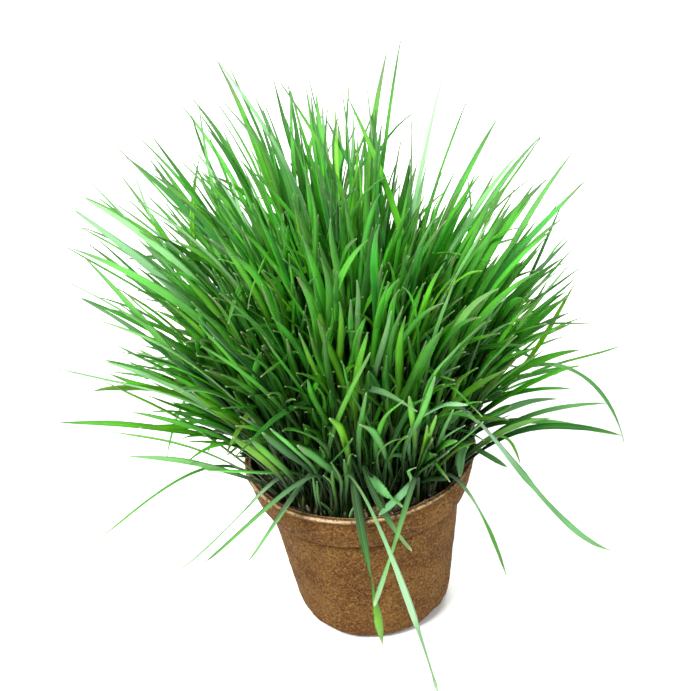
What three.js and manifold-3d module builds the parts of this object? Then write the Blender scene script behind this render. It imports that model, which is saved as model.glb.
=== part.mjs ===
// A pot of wheatgrass: a moulded-fibre pot filled with soil, one dense tuft of
// grass grown from a mat of sprouted seed, and the single leaves that fall over
// the rim. Millimetres, +Z up, origin at the centre of the pot's foot.

import * as THREE from 'three';
import { mergeVertices } from 'three/addons/utils/BufferGeometryUtils.js';
import Module from 'manifold-3d';

// ---- Driving dimensions, mm ----
const RIM_RADIUS = 75;          // outside of the rolled lip
const POT_HEIGHT = 122;
const WALL = 3;                 // thickness of the moulded fibre
const LIP_DEPTH = 3.2;          // height of the rolled lip
const LIP_PROUD = 1.4;          // how far the lip stands out of the collar
const LIP_ROUND = 0.8;          // bevel on both edges of the lip's top
const COLLAR_HEIGHT = 24;       // lip and flared collar together
const COLLAR_RADIUS = 69;       // outside of the collar at its lower edge
const SHOULDER_HEIGHT = 7;      // the slope in from the collar to the body
const BODY_RADIUS = 63;         // outside of the body under the shoulder
const FOOT_RADIUS = 50.5;       // where the body's wall would meet the floor
const FOOT_ROUND = 10;          // radius of the rounded foot edge
const DRAIN_COUNT = 5;
const DRAIN_RADIUS = 4;
const DRAIN_CIRCLE = 24;
const DRAIN_SIDES = 12;
const POT_SIDES = 48;

const CLEARANCE = 0.3;          // gap between neighbouring pieces
const SOIL_TOP = 110.5;         // level bed that the seed mat lies on
const SOIL_HEAP = 2.2;          // how far the loose ring stands above the bed
const MAT_RADIUS = 58;
const MAT_HEIGHT = 5;
const MAT_EDGE = 1.5;           // bevel round the top of the mat
const MAT_SIDES = 24;
const ROOT_DEPTH = 4;           // how deep a leaf is sunk in the mat
const ROOT_MARGIN = 4;          // from the outermost root to the mat's edge

const LEAF_COUNT = 320;
const SEED = 20;
const LEAF_TRIES = 8;           // places tried for a leaf, the clearest is kept
const REACH = 240;              // from the middle of the bed to an upright leaf's tip
const REACH_FALL = 0.28;        // the share of it that the widest leaves lack
const REACH_LEAN = 60;          // the lean, in degrees, from which they lack it all
const UNEVEN = 0.05;            // how much the reach varies round the tuft, as a share
const UNEVEN_SIDE = 0.05;       // how much less of it there is towards +X
const UNEVEN_AT = 150;          // azimuth of its longer side, in degrees
const UNEVEN_LEAN = 25;         // the lean, in degrees, from which it varies fully
const HOLLOWS = [               // where the outline is hollow, seen from the front: [angle, half-width, share]
  [68, 9, 0.12], [146, 12, 0.14], [30, 14, 0.08]];
const HOLLOWS_SEEN = 32;        // how high above the front they are seen from, in degrees
const WIDEST = 64;              // the widest lean at the sides, in degrees
const WIDEST_SIDE = 3;          // and how much more there is towards +X
const WIDEST_FRONT = 24;        // and how much less towards -Y
const LEAF_WIDTH = 5.2;
const STEM_WIDTH = 2.4;
const STEM_KEEL = 1.6;          // depth of the fold at the foot of a leaf
const LEAF_KEEL = 0.95;         // depth of the fold along the blade
const INNER_SHARE = 0.6;        // leaves rooted nearer the middle than this are straighter
const INNER_STATIONS = [0, 0.38, 0.78];
const OUTER_STATIONS = [0, 0.3, 0.58, 0.82];

const HOLE_RADIUS = 2.2;        // plain hole in the soil for a trailing leaf
const HOLE_DEPTH = 12;
const HOLE_SIDES = 10;
const HOLE_CIRCLE = 64;
const TRAILING_STEPS = 11;
const TRAILING_POINT = 0.94;    // where along a trailing leaf its point begins
const TRAILING_ROOM = 7;        // room left round a trailing leaf
const LEAF_ROOM = 3;            // leaves nearer than this count as crossing
const LIP_STEPS = 12;           // points tested along each straight piece of a leaf

const GREEN = 0x3f8f26;
const DEG = Math.PI / 180;
const MAT_TOP = SOIL_TOP + CLEARANCE + MAT_HEIGHT;

const wasm = await Module();
wasm.setup();

// ---- Solids ----

function toSolid(geometry) {
  const bare = geometry.clone();
  bare.deleteAttribute('normal');
  bare.deleteAttribute('uv');
  const merged = mergeVertices(bare, 1e-4);
  return new wasm.Manifold(new wasm.Mesh({
    numProp: 3,
    vertProperties: new Float32Array(merged.attributes.position.array),
    triVerts: new Uint32Array(merged.index.array),
  }));
}

function toGeometry(solid) {
  const mesh = solid.getMesh();
  const geometry = new THREE.BufferGeometry();
  geometry.setAttribute('position', new THREE.BufferAttribute(mesh.vertProperties, 3));
  geometry.setIndex(new THREE.BufferAttribute(mesh.triVerts, 1));
  geometry.computeVertexNormals();
  return geometry;
}

// A profile of [radius, height] points turned about the Z axis.
function turned(profile, sides) {
  const points = profile.map(([r, z]) => new THREE.Vector2(r, z));
  const geometry = new THREE.LatheGeometry(points, sides);
  geometry.rotateX(Math.PI / 2);
  return geometry;
}

// An upright round bar, used to cut a plain hole.
function bar(x, y, low, high, radius, sides) {
  const geometry = new THREE.CylinderGeometry(radius, radius, high - low, sides);
  geometry.rotateX(Math.PI / 2);
  geometry.translate(x, y, (low + high) / 2);
  return toSolid(geometry);
}

function named(name, geometry, color, roughness) {
  const mesh = new THREE.Mesh(geometry, new THREE.MeshStandardMaterial({ color, roughness }));
  mesh.name = name;
  return mesh;
}

// ---- Pot ----

const COLLAR_LOW = POT_HEIGHT - COLLAR_HEIGHT;
const BODY_TOP = COLLAR_LOW - SHOULDER_HEIGHT;
const WALL_ANGLE = Math.atan2(BODY_TOP, BODY_RADIUS - FOOT_RADIUS);

// The wall from the edge of the flat bottom up to the collar's lower edge, moved
// in by inset, with the bottom at the given height.
function wallProfile(inset, bottom) {
  const reach = FOOT_ROUND - inset;
  const middle = FOOT_RADIUS - FOOT_ROUND / Math.tan((Math.PI - WALL_ANGLE) / 2);
  const points = [];
  for (let i = 0; i <= 4; i += 1) {
    const angle = -Math.PI / 2 + (WALL_ANGLE * i) / 4;
    points.push([middle + reach * Math.cos(angle), bottom + reach + reach * Math.sin(angle)]);
  }
  points.push([BODY_RADIUS - inset, BODY_TOP]);
  for (const share of [0.3, 0.7, 1]) {
    const ease = share * share * (3 - 2 * share);
    const radius = BODY_RADIUS + (COLLAR_RADIUS - BODY_RADIUS) * ease;
    points.push([radius - inset, BODY_TOP + SHOULDER_HEIGHT * share]);
  }
  return points;
}

function makePot() {
  const collarTop = RIM_RADIUS - LIP_PROUD;
  const inner = wallProfile(WALL, WALL).reverse();
  const profile = [
    [0, 0],
    ...wallProfile(0, 0),
    [collarTop, POT_HEIGHT - LIP_DEPTH],
    [RIM_RADIUS, POT_HEIGHT - LIP_DEPTH * 0.7],
    [RIM_RADIUS, POT_HEIGHT - LIP_ROUND],
    [RIM_RADIUS - LIP_ROUND, POT_HEIGHT],
    [collarTop - WALL + LIP_ROUND, POT_HEIGHT],
    [collarTop - WALL, POT_HEIGHT - LIP_ROUND],
    ...inner,
    [0, WALL],
  ];
  let solid = toSolid(turned(profile, POT_SIDES));
  for (let i = 0; i < DRAIN_COUNT; i += 1) {
    const angle = (2 * Math.PI * i) / DRAIN_COUNT;
    const x = DRAIN_CIRCLE * Math.cos(angle);
    const y = DRAIN_CIRCLE * Math.sin(angle);
    solid = solid.subtract(bar(x, y, -WALL, 2 * WALL, DRAIN_RADIUS, DRAIN_SIDES));
  }
  return named('pot', toGeometry(solid), 0x94683f, 0.95);
}

// ---- Leaves ----

// Seeded random numbers between 0 and 1.
function randomFrom(seed) {
  let state = seed;
  return () => {
    state = (state + 0x6d2b79f5) | 0;
    let t = Math.imul(state ^ (state >>> 15), 1 | state);
    t = (t + Math.imul(t ^ (t >>> 7), 61 | t)) ^ t;
    return ((t ^ (t >>> 14)) >>> 0) / 4294967296;
  };
}

// A direction that leans from upright by lean, towards azimuth.
function leaning(lean, azimuth) {
  return new THREE.Vector3(
    Math.sin(lean) * Math.cos(azimuth),
    Math.sin(lean) * Math.sin(azimuth),
    Math.cos(lean),
  );
}

// Width along a leaf: a slim stem that opens into the blade and ends in a point.
function leafWidth(share, widest) {
  const opening = Math.min(1, STEM_WIDTH / widest + 2 * share);
  const closing = Math.min(1, (1 - share) / 0.32);
  return widest * opening * closing ** 0.7;
}

function leafKeel(share) {
  return LEAF_KEEL + (STEM_KEEL - LEAF_KEEL) * Math.max(0, 1 - 3 * share);
}

// A leaf is a folded strip with a three-sided section: left edge, right edge and
// the keel under the fold. Each strip is split the same way on its three sides.
// A leaf with a foot has its stem carried straight down to that height.
function leafGeometry(leaf, shares) {
  const rings = shares.map((share) => {
    const centre = leaf.curve.getPoint(share);
    const along = leaf.curve.getTangent(share);
    const level = new THREE.Vector3(-Math.sin(leaf.azimuth), Math.cos(leaf.azimuth), 0);
    level.addScaledVector(along, -level.dot(along)).normalize();
    const above = new THREE.Vector3().crossVectors(along, level);
    const turn = leaf.roll + leaf.twist * share;
    const across = level.clone().multiplyScalar(Math.cos(turn));
    across.addScaledVector(above, Math.sin(turn));
    const under = new THREE.Vector3().crossVectors(across, along);
    const half = leafWidth(share, leaf.width) / 2;
    return [
      centre.clone().addScaledVector(across, half),
      centre.clone().addScaledVector(across, -half),
      centre.clone().addScaledVector(under, leafKeel(share)),
    ];
  });
  if (leaf.foot !== undefined) {
    rings.unshift(rings[0].map((p) => new THREE.Vector3(p.x, p.y, leaf.foot)));
  }
  const points = rings.flat();
  points.push(leaf.curve.getPoint(1));
  const tip = points.length - 1;
  const faces = [0, 2, 1];
  for (let i = 0; i + 1 < rings.length; i += 1) {
    const [right, left, keel] = [3 * i, 3 * i + 1, 3 * i + 2];
    const [right2, left2, keel2] = [right + 3, left + 3, keel + 3];
    faces.push(right, left, right2, left, left2, right2);
    faces.push(left, keel, keel2, left, keel2, left2);
    faces.push(keel, right, right2, keel, right2, keel2);
  }
  const last = 3 * (rings.length - 1);
  faces.push(last, last + 1, tip, last + 1, last + 2, tip, last + 2, last, tip);
  const geometry = new THREE.BufferGeometry();
  const numbers = points.flatMap((p) => p.toArray());
  geometry.setAttribute('position', new THREE.Float32BufferAttribute(numbers, 3));
  geometry.setIndex(faces);
  return geometry;
}

// The smallest distance between two straight pieces a-b and c-d.
function apart(a, b, c, d) {
  const u = b.clone().sub(a);
  const v = d.clone().sub(c);
  const w = a.clone().sub(c);
  const uu = u.dot(u);
  const uv = u.dot(v);
  const vv = v.dot(v);
  const uw = u.dot(w);
  const vw = v.dot(w);
  const flat = uu * vv - uv * uv;
  const clamp = (n) => Math.min(1, Math.max(0, n));
  let s = flat > 1e-9 ? clamp((uv * vw - vv * uw) / flat) : 0;
  const t = clamp((uv * s + vw) / vv);
  s = clamp((uv * t - uw) / uu);
  return a.clone().addScaledVector(u, s).distanceTo(c.clone().addScaledVector(v, t));
}

function chain(leaf, shares) {
  return [...shares, 1].map((share) => leaf.curve.getPoint(share));
}

// How many pieces of two chains of points come closer than near.
function closePieces(one, other, near) {
  let count = 0;
  for (let i = 0; i + 1 < one.length; i += 1) {
    for (let j = 0; j + 1 < other.length; j += 1) {
      if (apart(one[i], one[i + 1], other[j], other[j + 1]) < near) count += 1;
    }
  }
  return count;
}

// ---- Trailing leaves ----

// Each falls over the rim on one smooth arch: the azimuth of its hole in the soil
// in degrees, the two points that draw the arch up and over, and its tip.
const TRAILING = [
  { at: -92, up: [-12, -54, 214], over: [-4, -91, 122], tip: [0, -83, 28], width: 5.6 },
  { at: -104, up: [-17, -72, 216], over: [12, -108, 140], tip: [31, -105, 3], width: 5.8 },
  { at: -61, up: [36, -70, 182], over: [24, -93, 142], tip: [-3, -91, 68], width: 5.0 },
  { at: -78, up: [-8, -64, 203], over: [-2, -81, 145], tip: [24, -81, 100], width: 5.0 },
  { at: -111, up: [-7, -79, 205], over: [-60, -77, 138], tip: [-103, -67, 98], width: 5.6 },
  { at: -119, up: [-9, -69, 206], over: [-48, -72, 134], tip: [-77, -71, 97], width: 5.8 },
  { at: -128, up: [-25, -67, 204], over: [-72, -66, 127], tip: [-120, -61, 89], width: 5.0 },
  { at: -38, up: [46, -42, 272], over: [98, -64, 90], tip: [149, -65, 68], width: 5.4 },
  { at: -51, up: [45, -52, 156], over: [67, -62, 134], tip: [83, -63, 55], width: 4.6 },
  { at: -10, up: [80, -16, 202], over: [148, -24, 208], tip: [165, -30, 124], width: 4.6 },
  { at: -23, up: [66, -28, 168], over: [112, -32, 152], tip: [164, -31, 130], width: 4.8 },
  { at: -158, up: [-80, -26, 162], over: [-120, -32, 138], tip: [-170, -32, 98], width: 4.2 },
  { at: 62, up: [38, 68, 206], over: [66, 104, 150], tip: [72, 116, 62], width: 5.2 },
  { at: 108, up: [-22, 70, 214], over: [-34, 112, 160], tip: [-28, 128, 40], width: 5.4 },
  { at: 150, up: [-66, 36, 200], over: [-112, 62, 160], tip: [-134, 66, 84], width: 5.0 },
];

function trailingLeaf(row) {
  const azimuth = row.at * DEG;
  const root = new THREE.Vector3(
    HOLE_CIRCLE * Math.cos(azimuth),
    HOLE_CIRCLE * Math.sin(azimuth),
    SOIL_TOP + SOIL_HEAP,
  );
  const [up, over, tip] = [row.up, row.over, row.tip].map((p) => new THREE.Vector3(...p));
  const curve = new THREE.CubicBezierCurve3(root, up, over, tip);
  const heading = Math.atan2(tip.y - root.y, tip.x - root.x);
  const foot = SOIL_TOP + SOIL_HEAP - HOLE_DEPTH + 1;
  return { curve, foot, azimuth: heading, roll: 0, twist: 0, width: row.width };
}

const TRAILING_SHARES = Array.from(
  { length: TRAILING_STEPS },
  (_, i) => (TRAILING_POINT * i) / (TRAILING_STEPS - 1),
);

function makeTrailing(leaf, index) {
  const name = `trailing_leaf_${String(index + 1).padStart(2, '0')}`;
  return named(name, leafGeometry(leaf, TRAILING_SHARES), GREEN, 0.5);
}

// ---- Tuft ----

// The tips of the leaves that stand out of the tuft's outline. The first two are
// the forked pair at the top.
const STRAY_TIPS = [
  [50, 50, 372], [41, 42, 369], [-56, 40, 376], [-50, 60, 362], [-68, 20, 352], [-18, 70, 345],
  [83, 20, 343], [103, 50, 314], [125, 20, 315], [148, 0, 295], [171, 10, 170], [-119, 20, 340],
  [-146, 0, 312], [-151, -24, 302], [-147, -34, 274], [-173, -20, 220], [-180, -22, 183],
];

// How far the tips stand from the middle of the bed: less where they lean, and
// uneven round the tuft, which grew further towards -X.
function reach(lean, azimuth) {
  const low = 1 - REACH_FALL * Math.min(1, lean / (REACH_LEAN * DEG)) ** 4;
  const roundAbout = UNEVEN * Math.cos(2 * (azimuth - UNEVEN_AT * DEG)) - UNEVEN_SIDE * Math.cos(azimuth);
  const side = Math.sin(lean) * Math.cos(azimuth);
  const rise = Math.cos(lean) * Math.cos(HOLLOWS_SEEN * DEG) + Math.sin(lean) * Math.sin(azimuth) * Math.sin(HOLLOWS_SEEN * DEG);
  const angle = Math.atan2(rise, side) / DEG;
  const hollow = HOLLOWS.reduce((sum, [at, wide, deep]) => sum + deep * Math.exp(-(((angle - at) / wide) ** 2)), 0);
  return REACH * low * (1 + Math.min(1, lean / (UNEVEN_LEAN * DEG)) * roundAbout) * (1 - hollow);
}

// The widest lean at an azimuth: the side towards -Y stands more upright.
function widestLean(azimuth) {
  const front = Math.max(0, -Math.sin(azimuth));
  return (WIDEST + WIDEST_SIDE * Math.cos(azimuth) - WIDEST_FRONT * front) * DEG;
}

function rootAt(radius, azimuth) {
  return new THREE.Vector3(
    radius * Math.cos(azimuth),
    radius * Math.sin(azimuth),
    MAT_TOP - ROOT_DEPTH,
  );
}

// A leaf rises from its root, leans out along its azimuth and bends over to its tip.
function leafFrom(root, tip, azimuth, lean, bend, rest) {
  const span = tip.distanceTo(root);
  const fall = Math.acos((tip.z - root.z) / span) + bend;
  const up = root.clone().addScaledVector(leaning(lean * 0.42, azimuth), span * 0.38);
  const over = tip.clone().addScaledVector(leaning(fall, azimuth), -span * 0.3);
  return { curve: new THREE.CubicBezierCurve3(root, up, over, tip), azimuth, ...rest };
}

function drawLeaf(root, share, azimuth, random) {
  const heading = azimuth + (random() + random() - 1) * (20 + 45 * (1 - share)) * DEG;
  const lean = widestLean(heading) * (0.1 + 0.9 * share) * (0.72 + 0.4 * random());
  const length = reach(lean, heading) * (1 - 0.34 * random() ** 2);
  const tip = leaning(lean, heading).multiplyScalar(length);
  tip.z += SOIL_TOP;
  const bend = (6 + 40 * random() * (0.3 + 0.7 * share)) * DEG;
  const roll = (random() - 0.5) * 100 * DEG;
  const twist = (random() - 0.5) * 70 * DEG;
  const width = LEAF_WIDTH * (0.82 + 0.3 * random());
  const stations = share < INNER_SHARE ? INNER_STATIONS : OUTER_STATIONS;
  return leafFrom(root, tip, heading, lean, bend, { roll, twist, width, stations });
}

// A stray leaf starts nearer the edge of the mat the further out its tip is.
function strayLeaf(place, index) {
  const tip = new THREE.Vector3(...place);
  const azimuth = Math.atan2(tip.y, tip.x);
  const lean = Math.atan2(Math.hypot(tip.x, tip.y), tip.z - SOIL_TOP);
  const radius = MAT_RADIUS * Math.min(0.9, lean / (80 * DEG));
  const root = rootAt(radius, azimuth);
  const roll = (index % 2 ? 28 : -22) * DEG;
  const width = LEAF_WIDTH * 0.95;
  const rest = { roll, twist: 0, width, stations: OUTER_STATIONS };
  return leafFrom(root, tip, azimuth, lean, 14 * DEG, rest);
}

// Whether a chain of points passes too near the pot's lip or the soil beside it.
function touchesLip(points) {
  for (let i = 0; i + 1 < points.length; i += 1) {
    for (let step = 0; step <= LIP_STEPS; step += 1) {
      const p = points[i].clone().lerp(points[i + 1], step / LIP_STEPS);
      const radius = Math.hypot(p.x, p.y);
      const room = LEAF_WIDTH / 2 + 1;
      const near = radius > MAT_RADIUS && radius < RIM_RADIUS + room;
      const floor = radius < RIM_RADIUS - WALL - LIP_PROUD - room ? SOIL_TOP + SOIL_HEAP : POT_HEIGHT;
      if (near && p.z < floor + room) return true;
    }
  }
  return false;
}

// What a place costs where a leaf would touch another piece, and isn't kept.
const BLOCKED = 1000;

// Roots stand in a spiral, evenly over the mat, and each leaf takes the place that
// crosses the fewest leaves before it.
function tuftLeaves(trailing) {
  const random = randomFrom(SEED);
  const fixed = trailing.map((leaf) => chain(leaf, TRAILING_SHARES));
  const leaves = STRAY_TIPS.map(strayLeaf);
  const grown = leaves.map((leaf) => chain(leaf, leaf.stations));
  for (let i = 0; i < LEAF_COUNT; i += 1) {
    const share = Math.sqrt((i + 0.5) / LEAF_COUNT);
    const azimuth = i * Math.PI * (3 - Math.sqrt(5));
    const radius = share * (MAT_RADIUS - ROOT_MARGIN);
    const root = rootAt(radius, azimuth);
    let best = null;
    for (let k = 0; k < LEAF_TRIES; k += 1) {
      const leaf = drawLeaf(root, share, azimuth, random);
      const points = chain(leaf, leaf.stations);
      let cost = touchesLip(points) ? BLOCKED : 0;
      for (const other of fixed) cost += BLOCKED * closePieces(points, other, TRAILING_ROOM);
      for (const other of grown) cost += closePieces(points, other, LEAF_ROOM);
      if (best === null || cost < best.cost) best = { leaf, points, cost };
    }
    if (best.cost < BLOCKED) {
      grown.push(best.points);
      leaves.push(best.leaf);
    }
  }
  return leaves;
}

function makeTuft(trailing) {
  const low = SOIL_TOP + CLEARANCE;
  const mat = toSolid(turned([
    [0, low],
    [MAT_RADIUS, low],
    [MAT_RADIUS, MAT_TOP - MAT_EDGE],
    [MAT_RADIUS - MAT_EDGE, MAT_TOP],
    [0, MAT_TOP],
  ], MAT_SIDES));
  const blades = tuftLeaves(trailing).map((leaf) => toSolid(leafGeometry(leaf, leaf.stations)));
  return named('wheatgrass', toGeometry(wasm.Manifold.union([mat, ...blades])), GREEN, 0.5);
}

// ---- Soil ----

function makeSoil() {
  const inset = WALL + CLEARANCE;
  const low = WALL + CLEARANCE;
  const wall = wallProfile(inset, low);
  const collarSlope = (RIM_RADIUS - LIP_PROUD - COLLAR_RADIUS) / (COLLAR_HEIGHT - LIP_DEPTH);
  const edge = COLLAR_RADIUS - inset + collarSlope * (SOIL_TOP - COLLAR_LOW);
  const bed = MAT_RADIUS + 2 * CLEARANCE;
  const geometry = turned([
    [0, low],
    ...wall,
    [edge, SOIL_TOP],
    [(edge + bed) / 2, SOIL_TOP + SOIL_HEAP],
    [bed, SOIL_TOP],
    [0, SOIL_TOP],
  ], POT_SIDES);
  let solid = toSolid(geometry);
  for (const row of TRAILING) {
    const x = HOLE_CIRCLE * Math.cos(row.at * DEG);
    const y = HOLE_CIRCLE * Math.sin(row.at * DEG);
    const top = SOIL_TOP + SOIL_HEAP;
    solid = solid.subtract(bar(x, y, top - HOLE_DEPTH, top + 4, HOLE_RADIUS, HOLE_SIDES));
  }
  return named('soil', toGeometry(solid), 0x2b1d12, 1);
}

// ---- Assembly ----

const trailing = TRAILING.map(trailingLeaf);
const group = new THREE.Group();
group.add(makePot());
group.add(makeSoil());
group.add(makeTuft(trailing));
trailing.forEach((leaf, index) => group.add(makeTrailing(leaf, index)));

export default group;
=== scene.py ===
# %% [markdown]
# # A pot of wheatgrass
#
# Wheatgrass is what wheat looks like a few weeks after it sprouts. The grains are
# sown so close that their roots knit into one mat, and every grain sends up a slim
# stem that opens into long, soft leaves. Here it grows in a pot pressed from brown
# plant fibre. Nothing in it moves, so every piece rides on the one body, "root".
#
# The first cell loads the plain solids. They say where everything is and how big
# it is. The cells after it make finer surfaces that take the solids' places.

# %% Load the frame
import math

import bpy
import numpy as np
from mathutils import Matrix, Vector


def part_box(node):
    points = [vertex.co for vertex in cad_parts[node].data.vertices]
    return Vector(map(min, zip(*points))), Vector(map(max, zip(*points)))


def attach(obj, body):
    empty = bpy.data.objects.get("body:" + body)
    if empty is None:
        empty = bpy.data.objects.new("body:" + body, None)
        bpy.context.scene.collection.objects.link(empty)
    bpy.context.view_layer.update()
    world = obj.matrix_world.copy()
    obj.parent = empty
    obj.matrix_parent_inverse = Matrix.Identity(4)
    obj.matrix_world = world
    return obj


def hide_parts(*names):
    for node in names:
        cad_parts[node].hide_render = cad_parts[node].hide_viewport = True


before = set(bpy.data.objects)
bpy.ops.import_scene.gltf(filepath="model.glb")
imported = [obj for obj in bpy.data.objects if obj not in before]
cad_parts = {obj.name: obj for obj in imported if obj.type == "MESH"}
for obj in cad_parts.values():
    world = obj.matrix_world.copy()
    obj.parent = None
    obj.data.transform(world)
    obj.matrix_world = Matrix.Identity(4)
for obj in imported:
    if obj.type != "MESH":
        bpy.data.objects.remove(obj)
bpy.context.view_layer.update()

MM = 0.001
BODY = "root"

# %% [markdown]
# ## The camera
#
# A camera is easiest to place by what it does: it looks at the pot from the -Y
# side, lifted 32.5 degrees above level, and it is tilted a little, so the pot leans
# in the view. The three directions of the camera (right, up and back) are unit
# vectors. They and its place are the columns of its matrix, and a lamp's matrix is
# made the same way.

# %% Camera
CAMERA_LIFT = math.radians(32.5)
CAMERA_TILT = math.radians(-6.6)
CAMERA_DISTANCE = 0.968
CAMERA_ACROSS = -0.0247          # how far the camera is moved along its own right
CAMERA_ALONG = 0.1676            # and along its own up, from the line through the foot
SENSOR = 36.0
LENS = 72.9


def camera_directions(lift, tilt):
    """Right, up and back of a camera that looks along +Y, lifted and then tilted."""
    back = np.array([0.0, -math.cos(lift), math.sin(lift)])
    level = np.array([1.0, 0.0, 0.0])
    upright = np.cross(back, level)
    right = math.cos(tilt) * level + math.sin(tilt) * upright
    up = math.cos(tilt) * upright - math.sin(tilt) * level
    return right, up, back


def camera_frame():
    """Right, up and back of the camera, and its place in metres."""
    right, up, back = camera_directions(CAMERA_LIFT, CAMERA_TILT)
    return right, up, back, back * CAMERA_DISTANCE + right * CAMERA_ACROSS + up * CAMERA_ALONG


def placed(right, up, back, place):
    """The matrix whose columns are three directions and a place."""
    matrix = np.eye(4)
    matrix[:3] = np.column_stack([right, up, back, place])
    return Matrix(matrix.tolist())


def make_camera():
    camera = bpy.data.objects.new("camera", bpy.data.cameras.new("camera"))
    camera.data.sensor_width = SENSOR
    camera.data.lens = LENS
    camera.matrix_world = placed(*camera_frame())
    bpy.context.collection.objects.link(camera)
    bpy.context.scene.camera = camera


make_camera()
print("camera at", np.round(camera_frame()[3], 3))

# %% [markdown]
# ## Light and floor
#
# Leaves look fresh in soft light from above with a clear brighter side. One large
# lamp on the left is the brighter side, a weaker one opens the shadows, and a third
# from behind shines through the thin leaves. The pale surroundings fill the rest.

# %% An empty material
def new_material(name):
    """An empty node material with its output, and helpers to add and join nodes."""
    material = bpy.data.materials.new(name)
    material.use_nodes = True
    tree = material.node_tree
    tree.nodes.clear()

    def node(kind, **inputs):
        made = tree.nodes.new(kind)
        for key, value in inputs.items():
            made.inputs[key.replace("_", " ")].default_value = value
        return made

    def join(start, end):
        tree.links.new(start, end)

    output = node("ShaderNodeOutputMaterial")
    return material, node, join, output


print("a material is a tree of nodes, and its last one is the output")

# %% Floor, lamps and surroundings
FLOOR_HALF = 6.0
FLOOR_DROP = 0.0002              # the floor lies this much under the pot, in metres
FLOOR_COLOUR = (0.86, 0.86, 0.85, 1)
FLOOR_ROUGH = 0.8
LAMPS_AIM = (0.0, 0.0, 0.2)
LAMPS = {                        # name: (place, size, watts, colour)
    "key": ((-1.1, -1.1, 2.2), 0.9, 126.0, (1.0, 0.98, 0.94)),
    "fill": ((1.6, -1.0, 1.2), 1.4, 18.0, (0.93, 0.97, 1.0)),
    "through": ((0.5, 1.4, 1.8), 1.2, 60.0, (1.0, 1.0, 0.96)),
}
SURROUND_COLOUR = (0.93, 0.97, 1.0, 1.0)
SURROUND_STRENGTH = 0.6


def make_floor():
    signs = ((-1, -1), (1, -1), (1, 1), (-1, 1))
    corners = [(x * FLOOR_HALF, y * FLOOR_HALF, -FLOOR_DROP) for x, y in signs]
    mesh = bpy.data.meshes.new("floor")
    mesh.from_pydata(corners, [], [(0, 1, 2, 3)])
    floor = bpy.data.objects.new("floor", mesh)
    bpy.context.collection.objects.link(floor)
    material, node, join, output = new_material("pale floor")
    shader = node("ShaderNodeBsdfPrincipled", Base_Color=FLOOR_COLOUR, Roughness=FLOOR_ROUGH)
    join(shader.outputs["BSDF"], output.inputs["Surface"])
    mesh.materials.append(material)


def make_lamp(name, place, size, watts, colour):
    data = bpy.data.lights.new(name, "AREA")
    data.size = size
    data.energy = watts
    data.color = colour
    lamp = bpy.data.objects.new(name, data)
    aim = np.array(LAMPS_AIM) - np.array(place)
    back = -aim / np.linalg.norm(aim)
    right = np.cross([0.0, 0.0, 1.0], back)
    right /= np.linalg.norm(right)
    lamp.matrix_world = placed(right, np.cross(back, right), back, place)
    bpy.context.collection.objects.link(lamp)


def make_surroundings():
    world = bpy.data.worlds.new("surroundings")
    world.use_nodes = True
    background = world.node_tree.nodes["Background"]
    background.inputs["Color"].default_value = SURROUND_COLOUR
    background.inputs["Strength"].default_value = SURROUND_STRENGTH
    bpy.context.scene.world = world


make_floor()
make_surroundings()
for lamp_name, lamp_row in LAMPS.items():
    make_lamp(lamp_name, *lamp_row)
bpy.context.scene.view_settings.view_transform = "Standard"
print("lamps:", ", ".join(LAMPS))

# %% [markdown]
# ## Meshes from arrays
#
# Every surface below is worked out as whole numpy arrays and handed to Blender in
# one go. Faces with four corners and closing caps come as two lists of corner
# numbers. A smooth random field, made from random values at the corners of a grid
# of cells, gives the uneven look of pressed fibre and of soil.

# %% Pieces, their maps and their tints
def make_piece(name, points, quads, material, caps=None, smooth=True):
    """A mesh from points (metres) and faces: quads (N, 4) and caps (M, K) of corner numbers."""
    caps = np.empty((0, 3), int) if caps is None else caps
    mesh = bpy.data.meshes.new(name)
    mesh.vertices.add(len(points))
    mesh.vertices.foreach_set("co", np.ascontiguousarray(points, np.float32).ravel())
    corners = np.concatenate([quads.ravel(), caps.ravel()]).astype(np.int32)
    sizes = np.concatenate([np.full(len(quads), 4), np.full(len(caps), caps.shape[1])])
    mesh.loops.add(len(corners))
    mesh.loops.foreach_set("vertex_index", corners)
    mesh.polygons.add(len(sizes))
    starts = np.concatenate([[0], np.cumsum(sizes)[:-1]]).astype(np.int32)
    mesh.polygons.foreach_set("loop_start", starts)
    mesh.polygons.foreach_set("use_smooth", np.full(len(sizes), smooth))
    mesh.update(calc_edges=True)
    mesh.validate()
    mesh.materials.append(material)
    piece = bpy.data.objects.new(name, mesh)
    bpy.context.collection.objects.link(piece)
    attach(piece, BODY)
    return piece


def set_map(piece, name, values):
    """Gives a piece a UV map from one pair of numbers for each of its points."""
    mesh = piece.data
    corners = np.empty(len(mesh.loops), np.int32)
    mesh.loops.foreach_get("vertex_index", corners)
    layer = mesh.uv_layers.new(name=name)
    layer.uv.foreach_set("vector", values[corners].astype(np.float32).ravel())


def set_tint(piece, values):
    """Gives each point of a piece four numbers: three as "tint" and the fourth, a painted sheen, as "pale".
    """
    layer = piece.data.attributes.new("tint", "FLOAT_VECTOR", "POINT")
    layer.data.foreach_set("vector", values[:, :3].astype(np.float32).ravel())
    pale = piece.data.attributes.new("pale", "FLOAT", "POINT")
    pale.data.foreach_set("value", np.ascontiguousarray(values[:, 3], np.float32))


print("every piece rides on:", BODY)

# %% A smooth random field
SCRAMBLE = np.array([374761393, 668265263, 2147483629])    # large numbers that mix a cell's place
STIR = 1274126177
LOW_BITS = 0xFFFFFFFF
FEW_BITS = 0xFFFFFF


def cell_value(cell, seed):
    """A fixed random number from 0 to 1 for each whole-numbered cell corner."""
    mixed = (cell * SCRAMBLE).sum(-1) + seed * STIR
    mixed = (mixed ^ (mixed >> 13)) * STIR & LOW_BITS
    return ((mixed ^ (mixed >> 16)) & FEW_BITS) / FEW_BITS


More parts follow.
